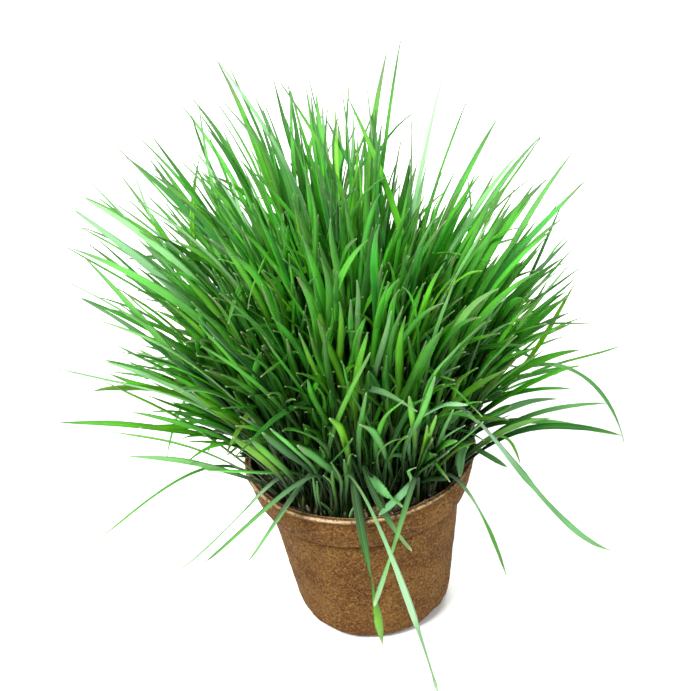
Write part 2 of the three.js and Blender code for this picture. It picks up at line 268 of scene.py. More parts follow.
def field(points, cell, seed=0):
    """A smooth random field from -1 to 1: random corner values of cells, eased between."""
    place = np.asarray(points) / cell
    low = np.floor(place)
    ease = place - low
    ease = ease * ease * (3 - 2 * ease)
    low = low.astype(np.int64)
    total = np.zeros(place.shape[:-1])
    for corner in np.ndindex(2, 2, 2):
        share = np.prod(np.where(np.array(corner) == 1, ease, 1 - ease), axis=-1)
        total += share * cell_value(low + np.array(corner), seed)
    return 2 * total - 1


def layers(points, rows):
    """A sum of random fields, one for each row (height, size of its cells, seed)."""
    return sum(height * field(points, cell, seed) for height, cell, seed in rows)


def unit(vectors):
    """Vectors scaled to length one."""
    return vectors / np.maximum(np.linalg.norm(vectors, axis=-1, keepdims=True), 1e-12)


def smoothstep(value, low, high):
    """Rises from 0 at low to 1 at high with level ends."""
    share = np.clip((value - low) / (high - low), 0, 1)
    return share * share * (3 - 2 * share)


print("field at the origin:", round(float(field(np.zeros(3), 1.0)), 3))

# %% [markdown]
# ## Pressed fibre
#
# The pot is pressed from wood and straw fibre. Close up it is a felt of light and
# dark specks about a millimetre across. Shade is painted on it, darker in the hollows,
# and a highlight is painted pale along the edges of the lip. The colour is mixed from
# noise at three sizes, and the same noise lifts the surface, so grains catch the light.

# %% Steps of a shader
def feed(join, socket, value):
    """Joins a value that is a socket to another socket, or sets the socket to the value."""
    if hasattr(value, "links"):
        join(value, socket)
    else:
        socket.default_value = value


def mix_colour(node, join, factor, first, second):
    """A colour that goes from first to second with factor. Each may be a socket or a value."""
    mix = node("ShaderNodeMix")
    mix.data_type = "RGBA"
    for socket, value in ((mix.inputs[0], factor), (mix.inputs[6], first), (mix.inputs[7], second)):
        feed(join, socket, value)
    return mix.outputs[2]


def ranged(node, join, value, low, high, first=0.0, last=1.0):
    """Value taken from low..high to first..last and held there outside."""
    step = node("ShaderNodeMapRange")
    join(value, step.inputs["Value"])
    for key, number in (("From Min", low), ("From Max", high), ("To Min", first), ("To Max", last)):
        step.inputs[key].default_value = number
    return step.outputs["Result"]


def noise(node, join, place, scale, detail=2.0, roughness=0.5):
    made = node("ShaderNodeTexNoise", Scale=scale, Detail=detail, Roughness=roughness)
    join(place, made.inputs["Vector"])
    return made.outputs["Fac"]


def worked(node, join, operation, *values):
    """What a Math node makes of one or two values, which may be sockets or numbers."""
    step = node("ShaderNodeMath")
    step.operation = operation
    for socket, value in zip(step.inputs, values):
        feed(join, socket, value)
    return step.outputs[0]


def multiplied(node, join, first, second):
    return worked(node, join, "MULTIPLY", first, second)


def larger(node, join, first, second):
    return worked(node, join, "MAXIMUM", first, second)


def height_and_radius(node, join, place):
    """Sockets for the height of a place and its distance from the upright axis."""
    split = node("ShaderNodeSeparateXYZ")
    join(place, split.inputs["Vector"])
    flat = node("ShaderNodeVectorMath")
    flat.operation = "MULTIPLY"
    join(place, flat.inputs[0])
    flat.inputs[1].default_value = (1, 1, 0)
    radius = node("ShaderNodeVectorMath")
    radius.operation = "LENGTH"
    join(flat.outputs["Vector"], radius.inputs[0])
    return split.outputs["Z"], radius.outputs["Value"]


def lifted_surface(node, join, colour, lift, roughness, strength, distance, specular=0.5):
    """A surface of one colour, raised where lift is large. Distance is the height of the bumps."""
    shader = node("ShaderNodeBsdfPrincipled", Roughness=roughness, Specular_IOR_Level=specular)
    join(colour, shader.inputs["Base Color"])
    bump = node("ShaderNodeBump", Strength=strength, Distance=distance)
    join(lift, bump.inputs["Height"])
    join(bump.outputs["Normal"], shader.inputs["Normal"])
    return shader.outputs["BSDF"]


print("steps of a shader: mixed, ranged, multiplied, the larger of two, and a lifted surface")

# %% Fibre material
FIBRE_BROWN = (0.085, 0.032, 0.0062, 1)
FIBRE_TAN = (0.143, 0.067, 0.0148, 1)
# the dark fibre specks, and the painted shade in the crease and under the lip
FIBRE_DARK_AND_SHADE = (0.024, 0.0075, 0.0020, 1)
FIBRE_PALE = (0.285, 0.158, 0.050, 1)
# painted highlight on the lip
LIP_HIGHLIGHT = (0.44, 0.33, 0.205, 1)
POT_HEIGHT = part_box("pot")[1][2]
CREASE_HEIGHT = POT_HEIGHT - 31.0 * MM                 # under the lip, the collar and the shoulder
LIP_OUTER, LIP_INNER = (73.5, 74.2), (72.1, 71.4)      # radii at which the painted highlight on the lip's edges begins
GRAIN_SCALE, SPECK_SCALE, PATCH_SCALE = 520.0, 860.0, 45.0


def lip_highlight_mask(node, join, place, grain):
    """Painted highlight: both edges of the lip's top, broken up by the grain in places."""
    height, radius = height_and_radius(node, join, place)
    high = ranged(node, join, height, POT_HEIGHT - 1.5 * MM, POT_HEIGHT - 0.3 * MM)
    outer = ranged(node, join, radius, LIP_OUTER[0] * MM, LIP_OUTER[1] * MM)
    inner = ranged(node, join, radius, LIP_INNER[0] * MM, LIP_INNER[1] * MM, 0.0, 0.8)
    patchy = ranged(node, join, grain, 0.40, 0.54, 0.2, 1.0)
    return multiplied(node, join, multiplied(node, join, high, larger(node, join, outer, inner)), patchy)


def crease_shade_mask(node, join, place):
    """Painted shade: darker in the crease under the shoulder and in the hollow under the lip."""
    height = height_and_radius(node, join, place)[0]
    above = ranged(node, join, height, CREASE_HEIGHT, CREASE_HEIGHT + 3.2 * MM, 0.75, 0.0)
    below = ranged(node, join, height, CREASE_HEIGHT - 1.6 * MM, CREASE_HEIGHT, 0.0, 1.0)
    under = ranged(node, join, height, POT_HEIGHT - 9.0 * MM, POT_HEIGHT - 3.6 * MM, 0.0, 0.34)
    outside = ranged(node, join, height, POT_HEIGHT - 3.0 * MM, POT_HEIGHT - 3.6 * MM)
    return larger(node, join, multiplied(node, join, above, below), multiplied(node, join, under, outside))


def make_fibre_material():
    material, node, join, output = new_material("pressed fibre")
    place = node("ShaderNodeTexCoord").outputs["Object"]
    grain = noise(node, join, place, GRAIN_SCALE, 3.0, 0.7)
    specks = noise(node, join, place, SPECK_SCALE, 2.0, 0.65)
    patches = noise(node, join, place, PATCH_SCALE, 4.0, 0.6)
    base = mix_colour(node, join, ranged(node, join, patches, 0.38, 0.64), FIBRE_BROWN, FIBRE_TAN)
    base = mix_colour(node, join, ranged(node, join, grain, 0.49, 0.34, 0.0, 0.8), base, FIBRE_DARK_AND_SHADE)
    base = mix_colour(node, join, ranged(node, join, specks, 0.44, 0.33, 0.0, 0.75), base, FIBRE_DARK_AND_SHADE)
    base = mix_colour(node, join, ranged(node, join, grain, 0.55, 0.70, 0.0, 0.70), base, FIBRE_PALE)
    base = mix_colour(node, join, ranged(node, join, specks, 0.58, 0.70, 0.0, 0.75), base, FIBRE_PALE)
    # painted shade in the crease under the shoulder and under the lip
    base = mix_colour(node, join, crease_shade_mask(node, join, place), base, FIBRE_DARK_AND_SHADE)
    # painted highlight along both edges of the lip
    base = mix_colour(node, join, lip_highlight_mask(node, join, place, grain), base, LIP_HIGHLIGHT)
    surface = lifted_surface(node, join, base, grain, 0.92, 0.85, 0.6 * MM, 0.15)
    join(surface, output.inputs["Surface"])
    return material


FIBRE = make_fibre_material()
print("pot height in mm:", round(POT_HEIGHT / MM, 1))

# %% [markdown]
# ## The pot
#
# A pot is turned: one profile carried round the upright axis. The profile here is
# the outside from the middle of the bottom, round the foot, up the tapered wall,
# out over the shoulder and the flared collar, over the lip, and down the inside.
# The solid has 48 sides; this surface has 420, and every point is then moved a
# little along its normal by the random field. Slow changes make the wall and the
# lip uneven, as pulp is, and quick ones make the grain.

# %% Pot profile
RIM_RADIUS = 75.0                # all in millimetres
WALL = 3.0
LIP_DEPTH = 3.2
LIP_PROUD = 1.4
COLLAR_LOW, COLLAR_RADIUS = 98.0, 69.0
BODY_TOP, BODY_RADIUS = 91.0, 63.0
FOOT_RADIUS, FOOT_ROUND = 50.5, 10.0
GROOVE, GROOVE_WIDE = 1.2, 1.1   # depth and half-width of the crease under the shoulder
COLLAR_BULGE = 0.7               # how far the collar's middle stands out
COLLAR_HOLLOW = 1.0              # how far the collar draws in under the lip
INNER_ROUND = 1.0                # radius of the lip's inner edge
POT_TOP = POT_HEIGHT / MM
WALL_ANGLE = math.atan2(BODY_TOP, BODY_RADIUS - FOOT_RADIUS)
FOOT_MIDDLE = FOOT_RADIUS - FOOT_ROUND / math.tan((math.pi - WALL_ANGLE) / 2)


def line(start, end, count):
    """Points from start up to, but not with, end."""
    share = np.arange(count)[:, None] / count
    return np.asarray(start) * (1 - share) + np.asarray(end) * share


def arc(middle, radius, first, last, count):
    """Points on an arc from the first angle up to, but not with, the last."""
    angle = first + (last - first) * np.arange(count) / count
    return np.stack([middle[0] + radius * np.cos(angle), middle[1] + radius * np.sin(angle)], 1)


def wall_profile(inset, bottom, fine):
    """The wall from the flat bottom up to the collar's lower edge, moved in by inset."""
    reach = FOOT_ROUND - inset
    foot = arc((FOOT_MIDDLE, bottom + reach), reach, -math.pi / 2, WALL_ANGLE - math.pi / 2, fine // 6)
    side = line(foot[-1], (BODY_RADIUS - inset, BODY_TOP), fine)[1:]
    share = np.arange(fine // 8) / (fine // 8)
    ease = share * share * (3 - 2 * share)
    shoulder = np.stack([BODY_RADIUS - inset + (COLLAR_RADIUS - BODY_RADIUS) * ease,
                         BODY_TOP + (COLLAR_LOW - BODY_TOP) * share], 1)
    return np.concatenate([foot, side, shoulder])


def pot_profile():
    """The pot's outside and inside, part by part. Each part's last number is its count of points."""
    top = RIM_RADIUS - LIP_PROUD
    inner = top - WALL
    crown = POT_TOP - LIP_DEPTH / 2
    outside = wall_profile(0.0, 0.0, 78)
    outside[:, 0] -= GROOVE * np.exp(-((outside[:, 1] - BODY_TOP) / GROOVE_WIDE) ** 2)
    collar = line((COLLAR_RADIUS, COLLAR_LOW), (top, POT_TOP - LIP_DEPTH), 26)
    share = np.arange(len(collar)) / len(collar)
    collar[:, 0] += COLLAR_BULGE * np.sin(np.pi * share) - COLLAR_HOLLOW * smoothstep(share, 0.5, 0.95)
    bead = arc((RIM_RADIUS - LIP_DEPTH / 2, crown), LIP_DEPTH / 2, -math.pi / 3, math.pi / 2, 9)
    across = line((RIM_RADIUS - LIP_DEPTH / 2, POT_TOP), (inner + INNER_ROUND, POT_TOP), 3)
    edge_middle = (inner + INNER_ROUND, POT_TOP - INNER_ROUND)
    inner_edge = arc(edge_middle, INNER_ROUND, math.pi / 2, math.pi, 4)
    inner_collar = line((inner, POT_TOP - INNER_ROUND), (COLLAR_RADIUS - WALL, COLLAR_LOW), 14)
    inside = wall_profile(WALL, WALL, 24)[::-1]
    middle = line((0.0, 0.0), (FOOT_MIDDLE, 0.0), 22)
    floor = line(inside[-1], (0.0, WALL), 6)[1:]
    return np.concatenate([middle, outside, collar, bead, across, inner_edge, inner_collar, inside, floor,
                           [[0.0, WALL]]])


PROFILE = pot_profile()
print("profile points:", len(PROFILE), "widest in mm:", PROFILE[:, 0].max())

# %% Turn a profile
def turn(profile, sides):
    """Points and faces of a profile carried round the Z axis, with a point at each pole.

    Its point (r, z) goes to (r cos a, r sin a, z) at each of the angles a."""
    angle = 2 * math.pi * np.arange(sides) / sides
    ring = profile[1:-1]
    points = np.stack([ring[:, :1] * np.cos(angle), ring[:, :1] * np.sin(angle),
                       np.repeat(ring[:, 1:], sides, 1)], -1).reshape(-1, 3)
    row = np.arange(len(ring) - 1)[:, None] * sides
    here = np.arange(sides)[None, :]
    after = (here + 1) % sides
    quads = np.stack([row + here, row + after, row + sides + after, row + sides + here], -1).reshape(-1, 4)
    poles = [[0.0, 0.0, profile[0, 1]], [0.0, 0.0, profile[-1, 1]]]
    count = len(points)
    last = (len(ring) - 1) * sides
    here, after = here[0], after[0]
    bottom = np.stack([after, here, np.full(sides, count)], 1)
    top = np.stack([last + here, last + after, np.full(sides, count + 1)], 1)
    return np.concatenate([points, poles]), quads, np.concatenate([bottom, top])


def grid_normals(points, rows, sides):
    """Outward directions of a turned surface, from its neighbours along and across."""
    grid = points[:rows * sides].reshape(rows, sides, 3)
    across = np.roll(grid, -1, 1) - np.roll(grid, 1, 1)
    along = np.gradient(grid, axis=0)
    normals = unit(np.cross(across, along)).reshape(-1, 3)
    return np.concatenate([normals, [[0, 0, -1], [0, 0, 1]]])


print("points of the turned profile, with 12 sides:", len(turn(PROFILE, 12)[0]))

# %% The rough pot and its drainage holes
POT_SIDES = 420
DRAIN_COUNT, DRAIN_RADIUS, DRAIN_CIRCLE = 5, 4.0, 24.0
DRAIN_SIDES = 32
DRAIN_LOW, DRAIN_HIGH = -4.0, 6.0                      # the bars that cut the holes reach from here to here
FLAT = np.array([1, 1, 0])                             # fields of flattened points don't change with height
SLOW_LUMPS = ((0.35, 17.0, 1), (0.22, 6.0, 2))         # rows of (height, cell, seed), in millimetres
GRAIN_LUMPS = ((0.16, 1.7, 3), (0.12, 2.8, 4))
FOOT_LIFT, FOOT_CELL = 2.6, 11.0                       # how far, and in what steps, the foot's edge lifts
RIM_WAVE = ((0.7, 24.0, 6),)


def rough_pot(points, normals):
    """Moves points along their normals: slow lumps, grain, and a wavy lip and foot."""
    height = points[:, 2]
    rough = layers(points, SLOW_LUMPS) + layers(points, GRAIN_LUMPS)
    moved = points + normals * (rough * (0.25 + 0.75 * smoothstep(height, 0.0, 3.0)))[:, None]
    radius = np.hypot(points[:, 0], points[:, 1])
    foot = smoothstep(radius, 30.0, 44.0) * (1 - smoothstep(height, 3.0, 14.0))
    moved[:, 2] += foot * FOOT_LIFT * np.clip(field(points * FLAT, FOOT_CELL, 5) + 0.15, 0, 1)
    rim = smoothstep(height, POT_TOP - 9.0, POT_TOP)
    moved[:, 2] += rim * layers(points * FLAT, RIM_WAVE)
    moved[:, 2] = np.maximum(moved[:, 2], 0.0)
    return moved


def cut_drains(piece):
    """Cuts the drainage holes through the bottom with one joined set of upright bars."""
    angle = 2 * math.pi * np.arange(DRAIN_COUNT) / DRAIN_COUNT
    bars = []
    for x, y in zip(DRAIN_CIRCLE * np.cos(angle), DRAIN_CIRCLE * np.sin(angle)):
        corners = [[0, DRAIN_LOW], [DRAIN_RADIUS, DRAIN_LOW], [DRAIN_RADIUS, DRAIN_HIGH], [0, DRAIN_HIGH]]
        bars.append(turn(np.array(corners), DRAIN_SIDES))
        bars[-1][0][:, :2] += (x, y)
    counts = np.cumsum([0] + [len(b[0]) for b in bars])
    mesh = bpy.data.meshes.new("bars")
    faces = [list(f) for b, c in zip(bars, counts) for part in b[1:] for f in part + c]
    mesh.from_pydata((np.concatenate([b[0] for b in bars]) * MM).tolist(), [], faces)
    tool = bpy.data.objects.new("bars", mesh)
    bpy.context.collection.objects.link(tool)
    cut = piece.modifiers.new("drains", "BOOLEAN")
    cut.object = tool
    cut.operation = "DIFFERENCE"
    cut.solver = "MANIFOLD"
    whole = bpy.data.meshes.new_from_object(piece.evaluated_get(bpy.context.evaluated_depsgraph_get()))
    piece.modifiers.remove(cut)
    piece.data = whole
    bpy.data.objects.remove(tool)


points, quads, caps = turn(PROFILE, POT_SIDES)
points = rough_pot(points, grid_normals(points, len(PROFILE) - 2, POT_SIDES))
pot = make_piece("pot_shell", points * MM, quads, FIBRE, caps)
cut_drains(pot)
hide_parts("pot")
print("pot faces:", len(pot.data.polygons), "box in mm:", points.min(0).round(1), points.max(0).round(1))

# %% [markdown]
# ## Soil
#
# The soil fills the pot from its bottom to a finger's width under the rim. What
# shows of it is a dark, crumbly ring between the grass and the wall. It is one
# turned plug whose top is pushed up and down by the field, with loose crumbs and
# white perlite grains scattered on it. Perlite is a puffed volcanic glass that
# keeps potting soil airy, and its white grains are what the eye finds first.

# %% Soil, crumb and perlite materials
SOIL_BLACK = (0.012, 0.007, 0.004, 1)
SOIL_BROWN = (0.036, 0.021, 0.012, 1)
SOIL_STRAW = (0.13, 0.08, 0.042, 1)


def make_soil_material():
    material, node, join, output = new_material("moist soil")
    place = node("ShaderNodeTexCoord").outputs["Object"]
    fine = noise(node, join, place, 900.0, 4.0, 0.6)
    broad = noise(node, join, place, 160.0, 2.0, 0.5)
    base = mix_colour(node, join, ranged(node, join, broad, 0.3, 0.7), SOIL_BLACK, SOIL_BROWN)
    base = mix_colour(node, join, ranged(node, join, fine, 0.62, 0.72), base, SOIL_STRAW)
    join(lifted_surface(node, join, base, fine, 0.85, 1.0, 1.0 * MM), output.inputs["Surface"])
    return material


def make_grain_material(name, dark, light, scale, roughness):
    """A plain mineral or husk finish: two colours mixed by noise, and a fine bump."""
    material, node, join, output = new_material(name)
    place = node("ShaderNodeTexCoord").outputs["Object"]
    mottle = noise(node, join, place, scale, 3.0, 0.6)
    base = mix_colour(node, join, ranged(node, join, mottle, 0.35, 0.65), dark, light)
    join(lifted_surface(node, join, base, mottle, roughness, 0.6, 0.3 * MM), output.inputs["Surface"])
    return material


SOIL = make_soil_material()
CRUMB = make_grain_material("soil crumbs", (0.014, 0.008, 0.005, 1), (0.06, 0.036, 0.02, 1), 700.0, 0.9)
PERLITE = make_grain_material("perlite", (0.62, 0.60, 0.56, 1), (0.86, 0.85, 0.82, 1), 900.0, 0.8)
HUSK = make_grain_material("grain husk", (0.30, 0.19, 0.075, 1), (0.56, 0.40, 0.19, 1), 800.0, 0.6)
print("soil materials made")

# %% Soil plug
SOIL_TOP, SOIL_HEAP = 110.5, 2.2
HEAP_SHARE = 0.6                 # how much of the heap the plug makes up, and crumbs the rest
BED_SUNK = 0.4                   # how far the plug lies under its level where the mat covers it
GAP = 0.3
MAT_RADIUS, MAT_HEIGHT = 58.0, 5.0
MAT_TOP = SOIL_TOP + GAP + MAT_HEIGHT
SOIL_SIDES = 300
SOIL_LUMPS = ((0.9, 6.0, 11), (0.6, 2.4, 12), (0.3, 1.1, 13))    # rows of (height, cell, seed)


def collar_radius(height):
    """Outside radius of the straight collar at a height."""
    share = (height - COLLAR_LOW) / (POT_TOP - LIP_DEPTH - COLLAR_LOW)
    return COLLAR_RADIUS + (RIM_RADIUS - LIP_PROUD - COLLAR_RADIUS) * share


RING_EDGE = collar_radius(SOIL_TOP) - WALL - 2 * GAP


def heaped(radius):
    """Height of the ring of soil: half a sine wave from the wall to the mat."""
    share = np.clip((RING_EDGE - radius) / (RING_EDGE - MAT_RADIUS), 0, 1)
    return SOIL_TOP + HEAP_SHARE * SOIL_HEAP * np.sin(math.pi * share)


def soil_profile():
    low = WALL + GAP
    wall = wall_profile(WALL + 2 * GAP, low, 16)
    radii = np.linspace(RING_EDGE, 0.0, 70)
    bed = np.where(radii < MAT_RADIUS - 1, SOIL_TOP - BED_SUNK, heaped(radii))
    return np.concatenate([[[0.0, low]], wall, np.stack([radii, bed], 1)])


def soil_height(points):
    """How far the crumbly ring stands above its profile."""
    radius = np.hypot(points[:, 0], points[:, 1])
    ring = smoothstep(radius, MAT_RADIUS - 1, MAT_RADIUS + 2) * (points[:, 2] > SOIL_TOP - 1)
    return ring * layers(points * FLAT, SOIL_LUMPS)


points, quads, caps = turn(soil_profile(), SOIL_SIDES)
points[:, 2] += soil_height(points)
soil = make_piece("soil_bed", points * MM, quads, SOIL, caps)
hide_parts("soil")
print("soil faces:", len(soil.data.polygons), "top in mm:", round(points[:, 2].max(), 1))

# %% [markdown]
# ## Small lumps
#
# Crumbs, perlite, and seed are all small rounded lumps. One rounded grid is scaled,
# turned and dented for each of them, all at once: the places are an array, and the
# grid is carried to each place by adding one more axis to the array. At the front
# left the ring lies in the shade of the leaves and no perlite shows, so the grains
# drawn there are left out.

# %% Scatter lumps
CRUMB_COUNT, PERLITE_COUNT = 900, 110
SHADED_LEFT, SHADED_FRONT = -20.0, -35.0               # the shaded corner lies past both of these
LUMP_LONGEST = 1.1                                     # a lump's longest axis, against its size


def rotations(random, count):
    """Random turns as (count, 3, 3) matrices, from random unit quaternions."""
    w, x, y, z = unit(random.normal(size=(count, 4))).T
    return np.stack([
        np.stack([1 - 2 * (y * y + z * z), 2 * (x * y - z * w), 2 * (x * z + y * w)], -1),
        np.stack([2 * (x * y + z * w), 1 - 2 * (x * x + z * z), 2 * (y * z - x * w)], -1),
        np.stack([2 * (x * z - y * w), 2 * (y * z + x * w), 1 - 2 * (x * x + y * y)], -1),
    ], -2)


def make_lumps(name, places, sizes, turns, material, dent, seed, rows=5, sides=8):
    """Rounded lumps at places: a ball grid, scaled by sizes, dented by the field, turned."""
    polar = np.pi * np.arange(rows + 1) / rows
    ball = np.stack([np.sin(polar), -np.cos(polar)], 1)
    points, quads, caps = turn(ball, sides)
    count = len(points)
    dented = 1 + dent * field(points[None] * 1.3 + 7.0 * np.arange(len(places))[:, None, None], 1.0, seed)
    shaped = points[None] * dented[..., None] * sizes[:, None, :]
    lying = np.einsum("nij,nkj->nki", turns, shaped) + places[:, None, :]
    shift = (np.arange(len(places)) * count)[:, None, None]
    quads, caps = (quads[None] + shift).reshape(-1, 4), (caps[None] + shift).reshape(-1, 3)
    return make_piece(name, lying.reshape(-1, 3) * MM, quads, material, caps)


def ring_places(random, count, low, high):
    """Random places on the soil ring between two radii, in millimetres."""
    radius = np.sqrt(random.uniform(low ** 2, high ** 2, count))
    angle = random.uniform(0, 2 * np.pi, count)
    places = np.stack([radius * np.cos(angle), radius * np.sin(angle), np.full(count, SOIL_TOP)], 1)
    places[:, 2] = heaped(radius) + soil_height(places)
    return places


def draw_sizes(random, count, smallest, largest, flattest):
    """Half sizes of lumps along three axes: a size for each lump, times a share for each axis."""
    return random.uniform(smallest, largest, (count, 1)) * random.uniform(flattest, LUMP_LONGEST, (count, 3))


random = np.random.default_rng(4)
places = ring_places(random, CRUMB_COUNT, MAT_RADIUS + 0.5, RING_EDGE - 1.0)
sizes = draw_sizes(random, CRUMB_COUNT, 0.35, 1.5, 0.6)
crumbs = make_lumps("soil_crumbs", places, sizes, rotations(random, CRUMB_COUNT), CRUMB, 0.45, 21)
places = ring_places(random, PERLITE_COUNT, MAT_RADIUS + 0.5, RING_EDGE - 1.5) + [0, 0, 0.5]
sizes = draw_sizes(random, PERLITE_COUNT, 0.5, 1.5, 0.7)
turns = rotations(random, PERLITE_COUNT)
shown = (places[:, 0] > SHADED_LEFT) | (places[:, 1] > SHADED_FRONT)
perlite = make_lumps("perlite_grains", places[shown], sizes[shown], turns[shown], PERLITE, 0.35, 22)
print("crumbs:", CRUMB_COUNT, "perlite grains:", shown.sum())

# %% [markdown]
# ## The seed mat
#
# Under the grass the spent grains lie shoulder to shoulder on a felt of roots. The
# felt is a low disc with an uneven top, and the grains are lumps twice as long as
# they are wide. Little of it shows between the stems, but it is what they grow
# from, and from above it closes the tuft.

# %% Seed mat and grains
ROOT_FELT = make_grain_material("root felt", (0.10, 0.07, 0.035, 1), (0.34, 0.27, 0.16, 1), 420.0, 0.85)
MAT_SIDES, MAT_RINGS = 260, 50
MAT_EDGE = 1.5                   # radius of the mat's rounded edge
FELT_TOP = MAT_TOP - 0.3         # the felt lies a little under the grains' tops
FELT_LUMPS = ((0.8, 3.0, 31),)
FELT_SUNK = 0.6
SEED_COUNT = 620
SEED_SIZE = np.array([[3.1, 1.5, 1.3]])                # half its length, width and height


def mat_profile():
    low = SOIL_TOP + GAP
    side = line((MAT_RADIUS, low), (MAT_RADIUS, FELT_TOP - MAT_EDGE), 4)
    edge = arc((MAT_RADIUS - MAT_EDGE, FELT_TOP - MAT_EDGE), MAT_EDGE, 0.0, math.pi / 2, 5)
    radii = np.linspace(MAT_RADIUS - MAT_EDGE, 0.0, MAT_RINGS)
    top = np.stack([radii, np.full(MAT_RINGS, FELT_TOP)], 1)
    return np.concatenate([[[0.0, low]], side, edge, top])


points, quads, caps = turn(mat_profile(), MAT_SIDES)
lift = points[:, 2] > MAT_TOP - 1.0
points[:, 2] += lift * (layers(points * FLAT, FELT_LUMPS) - FELT_SUNK)
felt = make_piece("seed_mat", points * MM, quads, ROOT_FELT, caps)
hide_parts("wheatgrass")

random = np.random.default_rng(5)
seed_radius = np.sqrt(random.uniform(0, 1, SEED_COUNT)) * (MAT_RADIUS - 2.0)
seed_angle = random.uniform(0, 2 * np.pi, SEED_COUNT)
seed_places = np.stack([seed_radius * np.cos(seed_angle), seed_radius * np.sin(seed_angle),
                        MAT_TOP - 0.4 + random.uniform(0, 0.8, SEED_COUNT)], 1)
lying = random.uniform(0, 2 * np.pi, SEED_COUNT)
zero, one = np.zeros(SEED_COUNT), np.ones(SEED_COUNT)
seed_turns = np.stack([np.stack([np.cos(lying), -np.sin(lying), zero], -1),
                       np.stack([np.sin(lying), np.cos(lying), zero], -1),
                       np.stack([zero, zero, one], -1)], -2)
seed_sizes = SEED_SIZE * random.uniform(0.85, 1.1, (SEED_COUNT, 1))
seeds = make_lumps("spent_grains", seed_places, seed_sizes, seed_turns, HUSK, 0.12, 32)
print("grains:", SEED_COUNT)

# %% [markdown]
# ## Leaf colour
#
# A wheat leaf is thin enough to glow when the light is behind it, so the finish
# mixes a glossy surface with a shader that lets light through. Along the leaf the
# colour goes from pale at the root, darkened there as painted shade, through deep
# green, which is partly painted shade low in the tuft, to a fresher green and a
# duller tip. Across it run fine parallel veins, with a paler midrib and paler
# margins. Each leaf carries four numbers of its own: how yellow it is, how dry its
# tip is, how light it is, and how whitish, a painted sheen of reflected light.
#
# The rest comes from where a leaf is, as painted light and shade. Deep in the tuft
# little light gets in, so shade is painted there by darkening the colour, and it
# clears with height and towards the outside, and on leaves whose own lightness is
# above 1. Far from the middle the leaves have more painted sheen and darker tips,
# which stand out against the light. Inside the tuft the very ends of the leaves are pale.

# %% What a leaf's shader reads
def own_numbers(node, join):
    """Sockets for a leaf's four numbers: how yellow, how dry, how light, and how whitish with painted sheen
    it is.
    """
    tint = node("ShaderNodeAttribute")
    tint.attribute_name = "tint"
    own = node("ShaderNodeSeparateXYZ")
    join(tint.outputs["Vector"], own.inputs["Vector"])
    pale = node("ShaderNodeAttribute")
    pale.attribute_name = "pale"
    return *own.outputs, pale.outputs["Fac"]


def leaf_map(node, join):
    """Sockets for the shares of the way across the leaf and along it."""
    laid = node("ShaderNodeUVMap")
    laid.uv_map = "leaf"
    split = node("ShaderNodeSeparateXYZ")
    join(laid.outputs["UV"], split.inputs["Vector"])
    return split.outputs["X"], split.outputs["Y"]


def distance_from_bed(node, join, place):
    """The distance of a place from the middle of the soil's top."""
    away = node("ShaderNodeVectorMath")
    away.operation = "DISTANCE"
    join(place, away.inputs[0])
    away.inputs[1].default_value = (0, 0, SOIL_TOP * MM)
    return away.outputs["Value"]


def brightened(node, join, colour, value, **changes):
    """A colour with its value multiplied, and its hue and saturation changed where they are given."""
    changed = node("ShaderNodeHueSaturation", **changes)
    join(colour, changed.inputs["Color"])
    feed(join, changed.inputs["Value"], value)
    return changed.outputs["Color"]


print("distances are taken from the bed, at a height in mm of", SOIL_TOP)

# %% Leaf colours
# the pale root, darkened as painted shade where the stems stand deep in the tuft
LEAF_PALE_ROOT_SHADED = (0.08, 0.12, 0.03, 1)
# deep green, partly the leaf's own colour and partly painted shade low on the leaf
LEAF_DEEP_AND_SHADED = (0.006, 0.045, 0.0025, 1)
LEAF_FRESH = (0.072, 0.42, 0.012, 1)
LEAF_BLUE = (0.034, 0.26, 0.062, 1)
LEAF_YELLOW = (0.23, 0.53, 0.015, 1)
LEAF_DRY = (0.34, 0.36, 0.18, 1)
LEAF_TIP = (0.12, 0.23, 0.06, 1)
LEAF_TIP_OUTSIDE = (0.055, 0.11, 0.04, 1)
LEAF_END = (0.48, 0.64, 0.36, 1)
# painted sheen: the whitish glare of reflected light on the leaves
LEAF_SHEEN = (0.58, 0.82, 0.57, 1)
LEAF_MARGIN = (0.30, 0.55, 0.16, 1)
LEAF_RIB = (0.22, 0.42, 0.12, 1)
SHADE = 0.22                     # how much colour is left deep inside the tuft
LIT_LOW, LIT_HIGH = 130 * MM, 285 * MM                 # heights where light begins and where it is full
LIT_INSIDE, LIT_OUTSIDE = 70 * MM, 100 * MM            # the same, as distances from the upright axis
TIP_INSIDE, TIP_OUTSIDE = 160 * MM, 220 * MM           # distances over which the tips change


def light_reaching(node, join, place, light):
    """The share of light at a place: most high up or outside, and on leaves lighter than 1."""
    height, radius = height_and_radius(node, join, place)
    above = ranged(node, join, height, LIT_LOW, LIT_HIGH, SHADE, 1.16)
    outside = ranged(node, join, radius, LIT_INSIDE, LIT_OUTSIDE, 0.0, 0.92)
    return larger(node, join, larger(node, join, above, outside), ranged(node, join, light, 1.0, 2.0))


